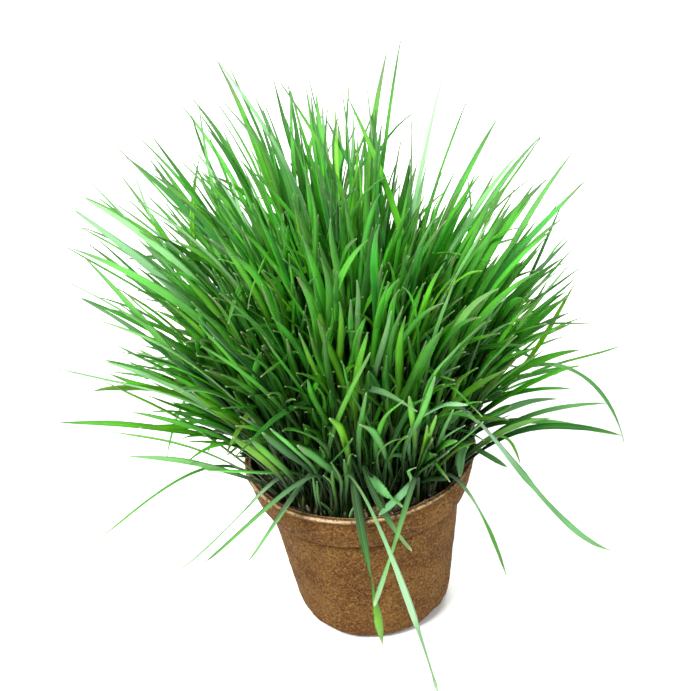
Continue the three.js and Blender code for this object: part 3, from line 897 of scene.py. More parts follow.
def blade_colour(node, join, place, along, yellow, light, shade):
    """Green from root to tip, bluer or yellower by the leaf's own number, lightened and shaded."""
    # deep green at the root to fresh green at the tip: partly painted shade low on the leaf
    green = mix_colour(node, join, ranged(node, join, along, 0.2, 0.72), LEAF_DEEP_AND_SHADED, LEAF_FRESH)
    green = mix_colour(node, join, ranged(node, join, yellow, 0.0, 0.45, 0.85, 0.0), green, LEAF_BLUE)
    green = mix_colour(node, join, ranged(node, join, yellow, 0.55, 1.0, 0.0, 0.8), green, LEAF_YELLOW)
    own_light = ranged(node, join, light, 0.0, 2.0, 0.45, 2.45)
    cloud = ranged(node, join, noise(node, join, place, 55.0, 2.0, 0.5), 0.3, 0.7, -0.12, 0.12)
    total = worked(node, join, "ADD", own_light, cloud)
    return brightened(node, join, green, multiplied(node, join, total, shade))


def lined_colour(node, join, colour, across, vein):
    """A colour with a paler rib and margins, and fine lines where the veins are."""
    rib = worked(node, join, "PINGPONG", across, 0.5)
    colour = mix_colour(node, join, ranged(node, join, rib, 0.44, 0.5, 0.0, 0.35), colour, LEAF_RIB)
    colour = mix_colour(node, join, ranged(node, join, rib, 0.0, 0.055, 0.42, 0.0), colour, LEAF_MARGIN)
    return brightened(node, join, colour, ranged(node, join, vein, -1.0, 1.0, 0.9, 1.08))


def ended_colour(node, join, colour, along, dry, distance):
    """A colour with a pale root darkened as painted shade, a dull tip, dry on some leaves, and pale-ended
    inside the tuft.
    """
    colour = mix_colour(node, join, ranged(node, join, along, 0.03, 0.15, 0.9, 0.0), colour, LEAF_PALE_ROOT_SHADED)
    withered = multiplied(node, join, ranged(node, join, along, 0.88, 0.97), dry)
    colour = mix_colour(node, join, withered, colour, LEAF_DRY)
    outside = ranged(node, join, distance, TIP_INSIDE, TIP_OUTSIDE)
    tip = mix_colour(node, join, outside, LEAF_TIP, LEAF_TIP_OUTSIDE)
    colour = mix_colour(node, join, ranged(node, join, along, 0.86, 0.97, 0.0, 0.55), colour, tip)
    inside = ranged(node, join, distance, TIP_INSIDE, TIP_OUTSIDE, 0.45, 0.0)
    pale_end = multiplied(node, join, ranged(node, join, along, 0.975, 0.99), inside)
    return mix_colour(node, join, pale_end, colour, LEAF_END)


print("leaf green and tip:", LEAF_FRESH[:3], LEAF_TIP[:3])

# %% Leaf material
VEINS = 11
GLOW = 0.38                      # share of the leaf's shading that lets light through
SHEEN_INSIDE, SHEEN_OUTSIDE = 150 * MM, 260 * MM       # distances over which the painted sheen grows


def make_leaf_material():
    material, node, join, output = new_material("wheat leaf")
    yellow, dry, light, pale = own_numbers(node, join)
    across, along = leaf_map(node, join)
    place = node("ShaderNodeTexCoord").outputs["Object"]
    distance = distance_from_bed(node, join, place)
    shade = light_reaching(node, join, place, light)
    vein = worked(node, join, "SINE", multiplied(node, join, across, 2 * math.pi * VEINS))
    colour = blade_colour(node, join, place, along, yellow, light, shade)
    colour = lined_colour(node, join, colour, across, vein)
    colour = ended_colour(node, join, colour, along, dry, distance)
    glowing = brightened(node, join, colour, 1.35, Hue=0.485, Saturation=1.1)
    far = ranged(node, join, distance, SHEEN_INSIDE, SHEEN_OUTSIDE, 0.0, 0.16)
    # painted sheen: whitish by the leaf's own number and further from the bed, less in the painted shade
    whitish = worked(node, join, "ADD", pale, far)
    painted_sheen = multiplied(node, join, whitish, ranged(node, join, shade, SHADE, 0.9, 0.35, 1.0))
    colour = mix_colour(node, join, painted_sheen, colour, LEAF_SHEEN)
    warm = mix_colour(node, join, painted_sheen, glowing, LEAF_SHEEN)

    surface = lifted_surface(node, join, colour, vein, 0.42, 0.25, 0.1 * MM, 0.25)
    through = node("ShaderNodeBsdfTranslucent")
    join(warm, through.inputs["Color"])
    mixed = node("ShaderNodeMixShader")
    mixed.inputs["Fac"].default_value = GLOW
    join(surface, mixed.inputs[1])
    join(through.outputs["BSDF"], mixed.inputs[2])
    join(mixed.outputs["Shader"], output.inputs["Surface"])
    return material


LEAF = make_leaf_material()
print("leaf material nodes:", len(LEAF.node_tree.nodes))

# %% [markdown]
# ## One leaf, many leaves
#
# A leaf is a curve with four control points and a section that changes along it:
# a round sheath at the root, opening into a shallow folded blade, and narrowing to
# a point. Many leaves are one array with an extra axis. At each place along each
# curve three directions are needed: along the leaf, across it, and above it. The
# across direction starts level and turns with the leaf's roll and twist.

# %% Curves of leaves
def bezier(control, share):
    """Points of many curves p(s) = (1-s)^3 a + 3 (1-s)^2 s b + 3 (1-s) s^2 c + s^3 d.

    The shares s are one row for all curves, or a row for each."""
    s = np.atleast_2d(share)[..., None]
    a, b, c, d = (control[:, None, i] for i in range(4))
    return (1 - s) ** 3 * a + 3 * (1 - s) ** 2 * s * b + 3 * (1 - s) * s * s * c + s ** 3 * d


def bezier_slope(control, share):
    """How fast the points of bezier move with share."""
    s = np.atleast_2d(share)[..., None]
    a, b, c, d = (control[:, None, i] for i in range(4))
    return 3 * (1 - s) ** 2 * (b - a) + 6 * (1 - s) * s * (c - b) + 3 * s * s * (d - c)


def waver(centre, slope, random, share, size):
    """Moves centre lines sideways in a slow wave, sized in millimetres, still at the root."""
    side = unit(np.cross(slope, [0.0, 0.0, 1.0]))
    phase = random.uniform(0, 2 * np.pi, (len(centre), 1))
    pace = random.uniform(0.6, 1.5, (len(centre), 1))
    wave = np.sin(2 * np.pi * pace * share + phase) - np.sin(phase)
    return centre + side * (size * wave * np.sin(np.pi * share) * share)[..., None]


def kink(centre, share, at, angle, axis):
    """Bends each line sharply at its share called at: the part past it turns by angle about axis."""
    start = np.take_along_axis(centre, np.abs(share[None] - at[:, None]).argmin(1)[:, None, None], 1)
    turned = (angle[:, None] * smoothstep(share[None] - at[:, None], 0.0, 0.08))[..., None]
    arm = centre - start
    axis = axis[:, None]
    along = axis * (arm * axis).sum(-1, keepdims=True)
    aside = np.cross(np.broadcast_to(axis, arm.shape), arm)
    bent = along + (arm - along) * np.cos(turned) + aside * np.sin(turned)
    return np.where((share[None] > at[:, None])[..., None], start + bent, centre)


STRAIGHT = np.linspace(0, 3, 4)[None, :, None]
print("half-way along a straight curve from 0 to 3:", bezier(STRAIGHT, np.array([0.5])).ravel())

# %% Sections of leaves
STEM_WIDTH = 2.0
BLADE_THICK = 0.34
FOLD = 0.55                      # how far the fold lies under the edges
KEEL = 0.28                      # how much thicker the blade is along its fold
TIP_HALF = 0.38                  # half the width that the very tip keeps
STATIONS = np.array([0, 0.035, 0.075, 0.12, 0.165, 0.21, 0.26, 0.32, 0.39, 0.46, 0.53, 0.60, 0.67, 0.74,
                     0.80, 0.855, 0.90, 0.94, 0.97, 0.99, 1.0])
EDGE = np.array([1.0, 0.5, 0.0, -0.5, -1.0, -0.5, 0.0, 0.5])
UPPER = np.array([1, 1, 1, 1, 1, 0, 0, 0])
RING = len(EDGE)                 # points round a leaf
AROUND = np.arange(RING) * 2 * math.pi / RING


def leaf_width(share, widest, stem=0.2, point=0.22, blunt=0.6):
    """Width along a leaf: slim up to the share stem, then opening, closing over the part point."""
    opening = np.minimum(1, STEM_WIDTH / widest[:, None] + 1.7 * np.maximum(0, share - stem))
    closing = np.minimum(1, (1 - share) / point) ** blunt
    return widest[:, None] * opening * closing


def leaf_points(centre, slope, heading, turned, width, share, opens=(0.1, 0.3)):
    """Rings of points round each centre line, as (leaves, stations, RING, 3).

    A ring is a circle where the leaf is a sheath and a folded strip where it is a blade,
    mixed by how far it has opened. It lies across the line, turned about it."""
    along = unit(slope)
    level = np.stack([-np.sin(heading), np.cos(heading), np.zeros_like(heading)], -1)[:, None, :]
    level = unit(level - along * (level * along).sum(-1, keepdims=True))
    above = np.cross(along, level)
    across = level * np.cos(turned)[..., None] + above * np.sin(turned)[..., None]
    over = np.cross(along, across)
    half = np.maximum(width / 2, TIP_HALF)[..., None]
    flat = smoothstep(share, *opens)[None, :, None]
    round_size = np.minimum(half, STEM_WIDTH / 2)
    side = (1 - flat) * np.cos(AROUND) * round_size + flat * EDGE * half
    narrow = np.clip(half / 1.2, 0.5, 1)
    inner = 1 - EDGE ** 2
    blade = -FOLD * (1 - np.abs(EDGE)) - (1 - UPPER) * (BLADE_THICK * inner + KEEL * (EDGE == 0))
    height = (1 - flat) * (np.sin(AROUND) * round_size - 0.4) + flat * blade * narrow
    return centre[:, :, None] + across[:, :, None] * side[..., None] + over[:, :, None] * height[..., None]


def leaf_faces(leaves, stations):
    """Faces between neighbouring rings, and the two end caps of each leaf."""
    first = np.arange(leaves) * stations * RING
    row = first[:, None, None] + (np.arange(stations - 1) * RING)[None, :, None]
    here = np.arange(RING)[None, None, :]
    after = (here + 1) % RING
    quads = np.stack([row + here, row + after, row + RING + after, row + RING + here], -1)
    start = first[:, None] + np.arange(RING)[::-1]
    end = first[:, None] + (stations - 1) * RING + np.arange(RING)
    return quads.reshape(-1, 4), np.concatenate([start, end])


def make_leaves(name, rings, share, tints):
    """One piece from the rings of many leaves, with its leaf map and tints, by leaf or by station."""
    leaves, stations = rings.shape[:2]
    tints = tints[:, None] if tints.ndim == 2 else tints
    quads, caps = leaf_faces(leaves, stations)
    piece = make_piece(name, rings.reshape(-1, 3) * MM, quads, LEAF, caps)
    across = np.broadcast_to((EDGE + 1) / 2, (leaves, stations, RING))
    along = np.broadcast_to(share[None, :, None], (leaves, stations, RING))
    set_map(piece, "leaf", np.stack([across, along], -1).reshape(-1, 2))
    set_tint(piece, np.broadcast_to(tints[:, :, None], (leaves, stations, RING, 4)).reshape(-1, 4))
    return piece


print("stations along a leaf:", len(STATIONS))

# %% Many leaves at once
def draw_tints(random, count, yellow=0.45, dry=0.22, light=0.5, pale=0.08):
    """How yellow, how dry at its tip, how light, and how whitish with painted sheen each leaf is."""
    return np.stack([np.clip(random.normal(yellow, 0.2, count), 0, 1),
                     np.where(random.uniform(size=count) < dry, random.uniform(0.4, 1, count), 0.0),
                     np.clip(random.normal(light, 0.22, count), 0, 1),
                     np.where(random.uniform(size=count) < pale, random.uniform(0.1, 0.4, count), 0.0)], 1)


def azimuth_of(way):
    """The azimuths that ways point to."""
    return np.arctan2(way[..., 1], way[..., 0])


def grow(name, leaves, share, random, tints, wave=3.4, kinked=0.06, **shape):
    """One piece of many leaves: their curves wave, some are kinked, and sections are carried along."""
    count = len(leaves["heading"])
    control = leaves["control"]
    centre = waver(bezier(control, share), bezier_slope(control, share), random, share, wave)
    angle = np.where(random.uniform(size=count) < kinked, random.uniform(0.5, 1.5, count), 0.0)
    level = np.stack([-np.sin(leaves["heading"]), np.cos(leaves["heading"]), np.zeros(count)], 1)
    centre = kink(centre, share, random.uniform(0.42, 0.72, count), angle, level)
    slope = np.gradient(centre, share, axis=1)
    width = leaf_width(share, leaves["width"], **shape)
    turned = leaves["roll"][:, None] + leaves["twist"][:, None] * share
    rings = leaf_points(centre, slope, leaves["heading"], turned, width, share)
    return make_leaves(name, rings, share, tints)


print("tints of three leaves:", draw_tints(np.random.default_rng(1), 3).round(2).tolist())

# %% [markdown]
# ## Where the grass grows
#
# The solid of the tuft was grown by a rule. The next cells follow the same rule, so
# each fine leaf lies in its plain one. Roots stand in a spiral, which fills a disc
# evenly. For each root eight leaves are drawn from seeded random numbers, and the
# one that crosses the fewest earlier leaves is kept. Random numbers come from a
# counter that is scrambled, so a whole array of them can be worked out at once.
#
# Most leaves end at the same reach from the middle of the bed, a little less where
# they lean far out. The edge of the tuft isn't even: in a few directions, as seen
# from the front and above, the leaves are shorter and leave a hollow. Some stray
# leaves stand out of the rest, and their tips are given one by one.

# %% Repeatable random numbers
SEED = 20
COUNTER_STEP = 0x6D2B79F5


def draws(seed, count):
    """Count random numbers: a counter with a fixed step, scrambled by shifts and products."""
    mask = np.uint64(LOW_BITS)
    state = (np.uint64(seed) + np.arange(1, count + 1, dtype=np.uint64) * np.uint64(COUNTER_STEP)) & mask
    t = ((state ^ (state >> np.uint64(15))) * (state | np.uint64(1))) & mask
    t = (((t + (((t ^ (t >> np.uint64(7))) * (t | np.uint64(61))) & mask)) & mask) ^ t) & mask
    return (t ^ (t >> np.uint64(14))).astype(float) / (LOW_BITS + 1)


print("first random numbers:", draws(SEED, 3).round(3))

# %% Leans and reaches
DEG = math.pi / 180
SOIL_ROOT = 2.0                                        # how deep a leaf is rooted beside the mat
ROOT_DEPTH, ROOT_MARGIN = 4.0, 4.0                     # how deep roots are, and their room to the edge
WIDEST, WIDEST_SIDE, WIDEST_FRONT = 64.0, 3.0, 24.0    # the widest lean, in degrees
REACH, REACH_FALL, REACH_LEAN = 240.0, 0.28, 60.0      # reach, the share it falls, and at which lean
UNEVEN, UNEVEN_SIDE = 0.05, 0.05                       # shares by which it varies round the tuft
UNEVEN_AT, UNEVEN_LEAN = 150.0, 25.0                   # where it is longest, and from which lean
HOLLOWS = ((68, 9, 0.12), (146, 12, 0.14), (30, 14, 0.08))    # (angle, half-width, share)
HOLLOWS_SEEN = 32.0              # how high above the front they are seen from, in degrees
RISE, RISE_LENGTH = 0.42, 0.38   # the lean of a leaf's lower part, and how long its handle is
FALL_LENGTH = 0.3                # how long the handle at its tip is


def leaning(lean, azimuth):
    """Unit directions that lean from upright by lean, towards azimuth."""
    lean, azimuth = np.broadcast_arrays(lean, azimuth)
    return np.stack([np.sin(lean) * np.cos(azimuth), np.sin(lean) * np.sin(azimuth), np.cos(lean)], -1)


def root_at(radius, azimuth):
    """Places of roots, sunk in the mat."""
    radius, azimuth = np.broadcast_arrays(radius, azimuth)
    height = np.full(radius.shape, MAT_TOP - ROOT_DEPTH)
    return np.stack([radius * np.cos(azimuth), radius * np.sin(azimuth), height], -1)


def reach(lean, azimuth):
    """How far tips stand from the middle of the bed: less where they lean, uneven, with hollows."""
    low = 1 - REACH_FALL * np.minimum(1, lean / (REACH_LEAN * DEG)) ** 4
    round_about = UNEVEN * np.cos(2 * (azimuth - UNEVEN_AT * DEG)) - UNEVEN_SIDE * np.cos(azimuth)
    side = np.sin(lean) * np.cos(azimuth)
    rise = (np.cos(lean) * math.cos(HOLLOWS_SEEN * DEG)
            + np.sin(lean) * np.sin(azimuth) * math.sin(HOLLOWS_SEEN * DEG))
    angle = np.arctan2(rise, side) / DEG
    hollow = sum(deep * np.exp(-((angle - at) / wide) ** 2) for at, wide, deep in HOLLOWS)
    return REACH * low * (1 + np.minimum(1, lean / (UNEVEN_LEAN * DEG)) * round_about) * (1 - hollow)


def widest_lean(azimuth):
    """The widest lean at an azimuth: least towards -Y, and a little more towards +X than -X."""
    front = np.maximum(0, -np.sin(azimuth))
    return (WIDEST + WIDEST_SIDE * np.cos(azimuth) - WIDEST_FRONT * front) * DEG


def leaf_curve(root, tip, azimuth, lean, bend):
    """Control points of leaves that rise from root, lean out and bend over to tip."""
    span = np.linalg.norm(tip - root, axis=-1)
    fall = np.arccos((tip[..., 2] - root[..., 2]) / span) + bend
    up = root + leaning(lean * RISE, azimuth) * (span * RISE_LENGTH)[..., None]
    over = tip - leaning(fall, azimuth) * (span * FALL_LENGTH)[..., None]
    return np.stack([root, up, over, tip], -2)


print("reach of an upright leaf in mm:", reach(np.zeros(1), np.zeros(1)).round(1))

# %% Tried leaves and strays
LEAF_COUNT, LEAF_TRIES = 320, 8
LEAF_WIDTH = 5.2
HEADING_STRAY, HEADING_STRAY_INNER = 20.0, 45.0        # in degrees, and how much more at the middle
LEAN_AT_MIDDLE, LEAN_LEAST, LEAN_SPREAD = 0.1, 0.72, 0.4    # shares of the widest lean
SHORTENED = 0.34                                       # how much of the reach a leaf may lack
BEND_LEAST, BEND_SPREAD, BEND_AT_MIDDLE = 6.0, 40.0, 0.3    # in degrees, and a share of the spread
ROLL_SPREAD, TWIST_SPREAD = 100.0, 70.0                # in degrees
WIDTH_LEAST, WIDTH_SPREAD = 0.82, 0.3                  # shares of the leaf width
STRAY_BEND = 14.0                # in degrees
STRAY_ROLLS = (-22, 28)
STRAY_TIPS = np.array([
    [50, 50, 372], [41, 42, 369], [-56, 40, 376], [-50, 60, 362], [-68, 20, 352], [-18, 70, 345],
    [83, 20, 343], [103, 50, 314], [125, 20, 315], [148, 0, 295], [171, 10, 170], [-119, 20, 340],
    [-146, 0, 312], [-151, -24, 302], [-147, -34, 274], [-173, -20, 220], [-180, -22, 183]], float)


def candidate_leaves():
    """All leaves that are tried: (roots, tries) arrays of curves and of their numbers."""
    index = np.arange(LEAF_COUNT)
    share = np.sqrt((index + 0.5) / LEAF_COUNT)[:, None]
    azimuth = (index * math.pi * (3 - math.sqrt(5)))[:, None]
    r = draws(SEED, LEAF_COUNT * LEAF_TRIES * 8).reshape(LEAF_COUNT, LEAF_TRIES, 8)
    strayed = HEADING_STRAY + HEADING_STRAY_INNER * (1 - share)
    heading = azimuth + (r[..., 0] + r[..., 1] - 1) * strayed * DEG
    lean_share = LEAN_AT_MIDDLE + (1 - LEAN_AT_MIDDLE) * share
    lean = widest_lean(heading) * lean_share * (LEAN_LEAST + LEAN_SPREAD * r[..., 2])
    length = reach(lean, heading) * (1 - SHORTENED * r[..., 3] ** 2)
    tip = leaning(lean, heading) * length[..., None] + [0, 0, SOIL_TOP]
    bent = BEND_AT_MIDDLE + (1 - BEND_AT_MIDDLE) * share
    bend = (BEND_LEAST + BEND_SPREAD * r[..., 4] * bent) * DEG
    root = np.broadcast_to(root_at(share * (MAT_RADIUS - ROOT_MARGIN), azimuth), tip.shape)
    control = leaf_curve(root, tip, heading, lean, bend)
    return {"control": control, "heading": heading, "roll": (r[..., 5] - 0.5) * ROLL_SPREAD * DEG,
            "twist": (r[..., 6] - 0.5) * TWIST_SPREAD * DEG,
            "width": LEAF_WIDTH * (WIDTH_LEAST + WIDTH_SPREAD * r[..., 7])}


def stray_leaves():
    """The leaves that stand out of the outline, from their tips."""
    azimuth = azimuth_of(STRAY_TIPS)
    lean = np.arctan2(np.hypot(STRAY_TIPS[:, 0], STRAY_TIPS[:, 1]), STRAY_TIPS[:, 2] - SOIL_TOP)
    root = root_at(MAT_RADIUS * np.minimum(0.9, lean / (80 * DEG)), azimuth)
    control = leaf_curve(root, STRAY_TIPS, azimuth, lean, STRAY_BEND * DEG)
    roll = np.resize(STRAY_ROLLS, len(azimuth)) * DEG
    return {"control": control, "heading": azimuth, "roll": roll, "twist": np.zeros(len(azimuth)),
            "width": np.full(len(azimuth), LEAF_WIDTH * 0.95)}


TRIED = candidate_leaves()
STRAY = stray_leaves()
print("leaves tried:", LEAF_COUNT * LEAF_TRIES, "strays:", len(STRAY_TIPS))

# %% [markdown]
# The leaves that fall over the rim are placed one by one: each has the azimuth of
# its hole in the soil, the two points that draw its arch up and over, and its tip.

# %% Curves of the trailing leaves
HOLE_CIRCLE = 64.0
TRAILING = [                     # (azimuth, up, over, tip, width)
    (-92, (-12, -54, 214), (-4, -91, 122), (0, -83, 28), 5.6),
    (-104, (-17, -72, 216), (12, -108, 140), (31, -105, 3), 5.8),
    (-61, (36, -70, 182), (24, -93, 142), (-3, -91, 68), 5.0),
    (-78, (-8, -64, 203), (-2, -81, 145), (24, -81, 100), 5.0),
    (-111, (-7, -79, 205), (-60, -77, 138), (-103, -67, 98), 5.6),
    (-119, (-9, -69, 206), (-48, -72, 134), (-77, -71, 97), 5.8),
    (-128, (-25, -67, 204), (-72, -66, 127), (-120, -61, 89), 5.0),
    (-38, (46, -42, 272), (98, -64, 90), (149, -65, 68), 5.4),
    (-51, (45, -52, 156), (67, -62, 134), (83, -63, 55), 4.6),
    (-10, (80, -16, 202), (148, -24, 208), (165, -30, 124), 4.6),
    (-23, (66, -28, 168), (112, -32, 152), (164, -31, 130), 4.8),
    (-158, (-80, -26, 162), (-120, -32, 138), (-170, -32, 98), 4.2),
    (62, (38, 68, 206), (66, 104, 150), (72, 116, 62), 5.2),
    (108, (-22, 70, 214), (-34, 112, 160), (-28, 128, 40), 5.4),
    (150, (-66, 36, 200), (-112, 62, 160), (-134, 66, 84), 5.0),
]
HOLE_AT = np.array([row[0] for row in TRAILING]) * DEG
TRAILING_ROOTS = np.stack([HOLE_CIRCLE * np.cos(HOLE_AT), HOLE_CIRCLE * np.sin(HOLE_AT),
                           np.full(len(HOLE_AT), SOIL_TOP + SOIL_HEAP)], -1)
TRAILING_POINTS = np.array([row[1:4] for row in TRAILING], float)
TRAILING_CURVES = np.concatenate([TRAILING_ROOTS[:, None], TRAILING_POINTS], 1)
print("trailing leaves:", len(TRAILING), "farthest to the right in mm:", TRAILING_POINTS[..., 0].max())

# %% The choice of places
INNER_SHARE = 0.6                            # leaves rooted nearer the middle are straighter
INNER_STATIONS = np.array([0, 0.38, 0.78, 1.0, 1.0])
OUTER_STATIONS = np.array([0, 0.3, 0.58, 0.82, 1.0])
TRAILING_STEPS, TRAILING_POINT = 11, 0.94    # stations of a trailing leaf, and where its point begins
TRAILING_ROOM, LEAF_ROOM = 7.0, 3.0          # leaves nearer than this are blocked, or cross
BLOCKED = 1000                               # what a blocked place costs, against 1 for a crossing
LIP_STEPS = 12                               # points tested along each straight piece


def apart(a, b, c, d):
    """Smallest distances between straight pieces a-b and c-d, for every pair of them.

    The nearest places lie at the shares s and t of the two pieces, held between 0 and 1."""
    u, v = (b - a)[:, None], (d - c)[None]
    w = a[:, None] - c[None]
    uu, vv = (u * u).sum(-1), (v * v).sum(-1)
    uv, uw, vw = (u * v).sum(-1), (u * w).sum(-1), (v * w).sum(-1)
    flat = uu * vv - uv * uv
    s = np.where(flat > 1e-9, np.clip((uv * vw - vv * uw) / np.maximum(flat, 1e-9), 0, 1), 0)
    t = np.clip((uv * s + vw) / vv, 0, 1)
    s = np.clip((uv * t - uw) / uu, 0, 1)
    return np.linalg.norm(w + u * s[..., None] - v * t[..., None], axis=-1)


def pieces_of(chains):
    """Start and end points of the straight pieces of chains, without empty ones."""
    start, end = chains[..., :-1, :].reshape(-1, 3), chains[..., 1:, :].reshape(-1, 3)
    real = np.linalg.norm(end - start, axis=-1) > 1e-6
    return start[real], end[real]


def touches_lip(chain):
    """Whether a chain of points passes too near the pot's lip or the soil beside it."""
    share = np.arange(LIP_STEPS + 1)[None, :, None] / LIP_STEPS
    p = (chain[:-1, None] * (1 - share) + chain[1:, None] * share).reshape(-1, 3)
    radius = np.hypot(p[:, 0], p[:, 1])
    room = LEAF_WIDTH / 2 + 1
    near = (radius > MAT_RADIUS) & (radius < RIM_RADIUS + room)
    floor = np.where(radius < RIM_RADIUS - WALL - LIP_PROUD - room, SOIL_TOP + SOIL_HEAP, POT_TOP)
    return bool((near & (p[:, 2] < floor + room)).any())


def choose_leaves():
    """For each root, the try that is clear of the fixed leaves and crosses the fewest others."""
    trailing_shares = np.append(TRAILING_POINT * np.arange(TRAILING_STEPS) / (TRAILING_STEPS - 1), 1.0)
    fixed = pieces_of(bezier(TRAILING_CURVES, trailing_shares))
    grown = pieces_of(bezier(STRAY["control"], OUTER_STATIONS))
    kept = []
    for i in range(LEAF_COUNT):
        inner = math.sqrt((i + 0.5) / LEAF_COUNT) < INNER_SHARE
        chains = bezier(TRIED["control"][i], INNER_STATIONS if inner else OUTER_STATIONS)
        parts = [pieces_of(chain) for chain in chains]
        owner = np.repeat(np.arange(LEAF_TRIES), [len(part[0]) for part in parts])
        start, end = (np.concatenate([part[k] for part in parts]) for k in (0, 1))
        cost = np.array([BLOCKED * touches_lip(chain) for chain in chains])
        blocked = (apart(start, end, *fixed) < TRAILING_ROOM).sum(1)
        crossed = (apart(start, end, *grown) < LEAF_ROOM).sum(1)
        cost += np.bincount(owner, BLOCKED * blocked + crossed, LEAF_TRIES).astype(int)
        best = int(cost.argmin())
        if cost[best] < BLOCKED:
            kept.append((i, best))
            grown = tuple(np.concatenate([old, new]) for old, new in zip(grown, parts[best]))
    return tuple(np.array(kept).T)


KEPT = choose_leaves()
MAIN = {key: np.concatenate([STRAY[key], TRIED[key][KEPT]]) for key in TRIED}
print("leaves kept:", len(KEPT[0]), "of", LEAF_COUNT)

# %% [markdown]
# ## The main leaves
#
# These are the leaves of the solid, drawn finely. A slow sideways wave keeps them
# from looking ruled, and it fades out at the root and the tip. They stay where
# their solids are, so none of them is kinked. Some of the leaves made further on
# are, as leaves are that were bent by a hand or by their own weight.

# %% Main leaves
random = np.random.default_rng(11)
MAIN_SLIM = 0.9                  # the living leaf is a little narrower than its solid
main = dict(MAIN, width=MAIN["width"] * MAIN_SLIM)
tints = draw_tints(random, len(main["width"]))
main_leaves = grow("main_leaves", main, STATIONS, random, tints, kinked=0.0)
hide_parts("wheatgrass")
print("main leaves:", len(main["width"]), "faces:", len(main_leaves.data.polygons))

# %% [markdown]
# ## More shoots
#
# A sown pot holds many more shoots than the solid does. They fill the same shape
# from inside: each is rooted anywhere in the mat, heads roughly outwards, and ends
# somewhere below the reach of the main leaves. Outer ones lean more than inner ones,
# but only on average, so they cross each other as real ones do. The low front of
# the tuft is left to the small leaves that are placed one by one there, so the leaves
# that would end in it are left out.

# %% More shoots
COARSE = np.array([0, 0.06, 0.13, 0.2, 0.28, 0.37, 0.47, 0.57, 0.67, 0.76, 0.84, 0.9, 0.95, 0.985, 1.0])
SHOOT_COUNT = 620
FRONT = -38.0                    # the front of the tuft lies before this, in Y


def draw_leaves(random, radius, azimuth, stray, lean_share, length, width):
    """Leaves from drawn roots, headings, leans and lengths, as shares of the tuft's own reach."""
    count = len(radius)
    heading = azimuth + random.normal(0, 1, count) * stray
    lean = np.abs(widest_lean(heading) * lean_share)
    root = root_at(radius, azimuth)
    tip = leaning(lean, heading) * (reach(lean, heading) * length)[:, None] + [0, 0, SOIL_TOP]
    tip += (root - [0, 0, MAT_TOP]) * (1 - length)[:, None] * [1, 1, 0]
    bend = random.uniform(4, 44, count) * (0.3 + 0.7 * np.abs(lean_share)) * DEG
    return {"control": leaf_curve(root, tip, heading, lean, bend), "heading": heading,
            "roll": random.uniform(-60, 60, count) * DEG, "twist": random.uniform(-110, 110, count) * DEG,
            "width": width}


def more_shoots(random, count):
    share = np.sqrt(random.uniform(0, 1, count))
    azimuth = random.uniform(0, 2 * np.pi, count)
    lean_share = share * random.uniform(0.55, 1.08, count) + random.normal(0, 0.10, count)
    length = 1.04 - 0.2 * smoothstep(lean_share, 0.3, 0.6) - 0.5 * random.uniform(0, 1, count) ** 1.3
    stray = (28 + 42 * (1 - share)) * DEG
    width = random.uniform(3.0, 5.4, count)
    return draw_leaves(random, share * (MAT_RADIUS - 2), azimuth, stray, lean_share, length, width)


def out_of_front(leaves, low=195.0):
    """The leaves without those that end at the front, lower than low."""
    tip = leaves["control"][:, 3]
    stays = (tip[:, 1] > FRONT) | (tip[:, 2] > low)
    return {key: value[stays] for key, value in leaves.items()}


random = np.random.default_rng(12)
shoots = out_of_front(more_shoots(random, SHOOT_COUNT), 160.0)
tints = draw_tints(random, len(shoots["width"]))
grow("more_shoots", shoots, COARSE, random, tints, wave=6.0, stem=0.28)
print("more shoots:", len(shoots["width"]))

# %% [markdown]
# ## Second leaves
#
# A wheat seedling has two or three leaves. The later ones come out of the sheath of
# the first, a sixth to two fifths of the way up, and turn away from it to one side.

# %% Second leaves
def second_leaves(random, first, pick, length):
    """Leaves that start on the picked first leaves and diverge to one side of them."""
    control = first["control"][pick]
    at = random.uniform(0.16, 0.4, (len(pick), 1))
    root = bezier(control, at)[:, 0]
    along = unit(bezier_slope(control, at)[:, 0])
    lean = np.arccos(np.clip(along[:, 2], -1, 1)) + random.uniform(-0.1, 0.5, len(pick))
    side = random.choice([-1, 1], len(pick)) * random.uniform(0.3, 1.6, len(pick))
    heading = first["heading"][pick] + side
    size = np.linalg.norm(control[:, 3] - control[:, 0], axis=1) * length
    out = leaning(np.minimum(lean, 1.25), heading)
    tip = root + unit(out + 0.6 * along) * size[:, None]
    up = root + along * (size * 0.35)[:, None]
    over = tip - unit(out * [1, 1, 0.35]) * (size * 0.3)[:, None]
    return {"control": np.stack([root, up, over, tip], 1), "heading": heading,
            "roll": random.uniform(-50, 50, len(pick)) * DEG,
            "twist": random.uniform(-100, 100, len(pick)) * DEG,
            "width": random.uniform(2.6, 4.2, len(pick))}


SECOND_COUNT, THIRD_COUNT = 250, 330    # how many main leaves, and shoots, have another leaf
random = np.random.default_rng(13)
pick = random.permutation(len(main["width"]))[:SECOND_COUNT]
seconds = out_of_front(second_leaves(random, main, pick, random.uniform(0.35, 0.68, len(pick))))
tints = draw_tints(random, len(seconds["width"]), 0.5)
grow("second_leaves", seconds, COARSE, random, tints, stem=0.05)
pick = random.permutation(len(shoots["width"]))[:THIRD_COUNT]
thirds = out_of_front(second_leaves(random, shoots, pick, random.uniform(0.35, 0.7, len(pick))))
tints = draw_tints(random, len(thirds["width"]), 0.5)
grow("third_leaves", thirds, COARSE, random, tints, stem=0.05)
print("second leaves:", len(seconds["width"]) + len(thirds["width"]))

# %% [markdown]
# ## Young leaves
#
# The first leaf of a seedling is short and has a blunt, rounded tip, often with a
# pale edge. Many stand low in the tuft, most of them towards the front, where one
# looks in between the tall leaves.

# %% Young leaves
YOUNG_COUNT = 260
YOUNG_STRAY = 0.7                # how far their headings stray, in radians


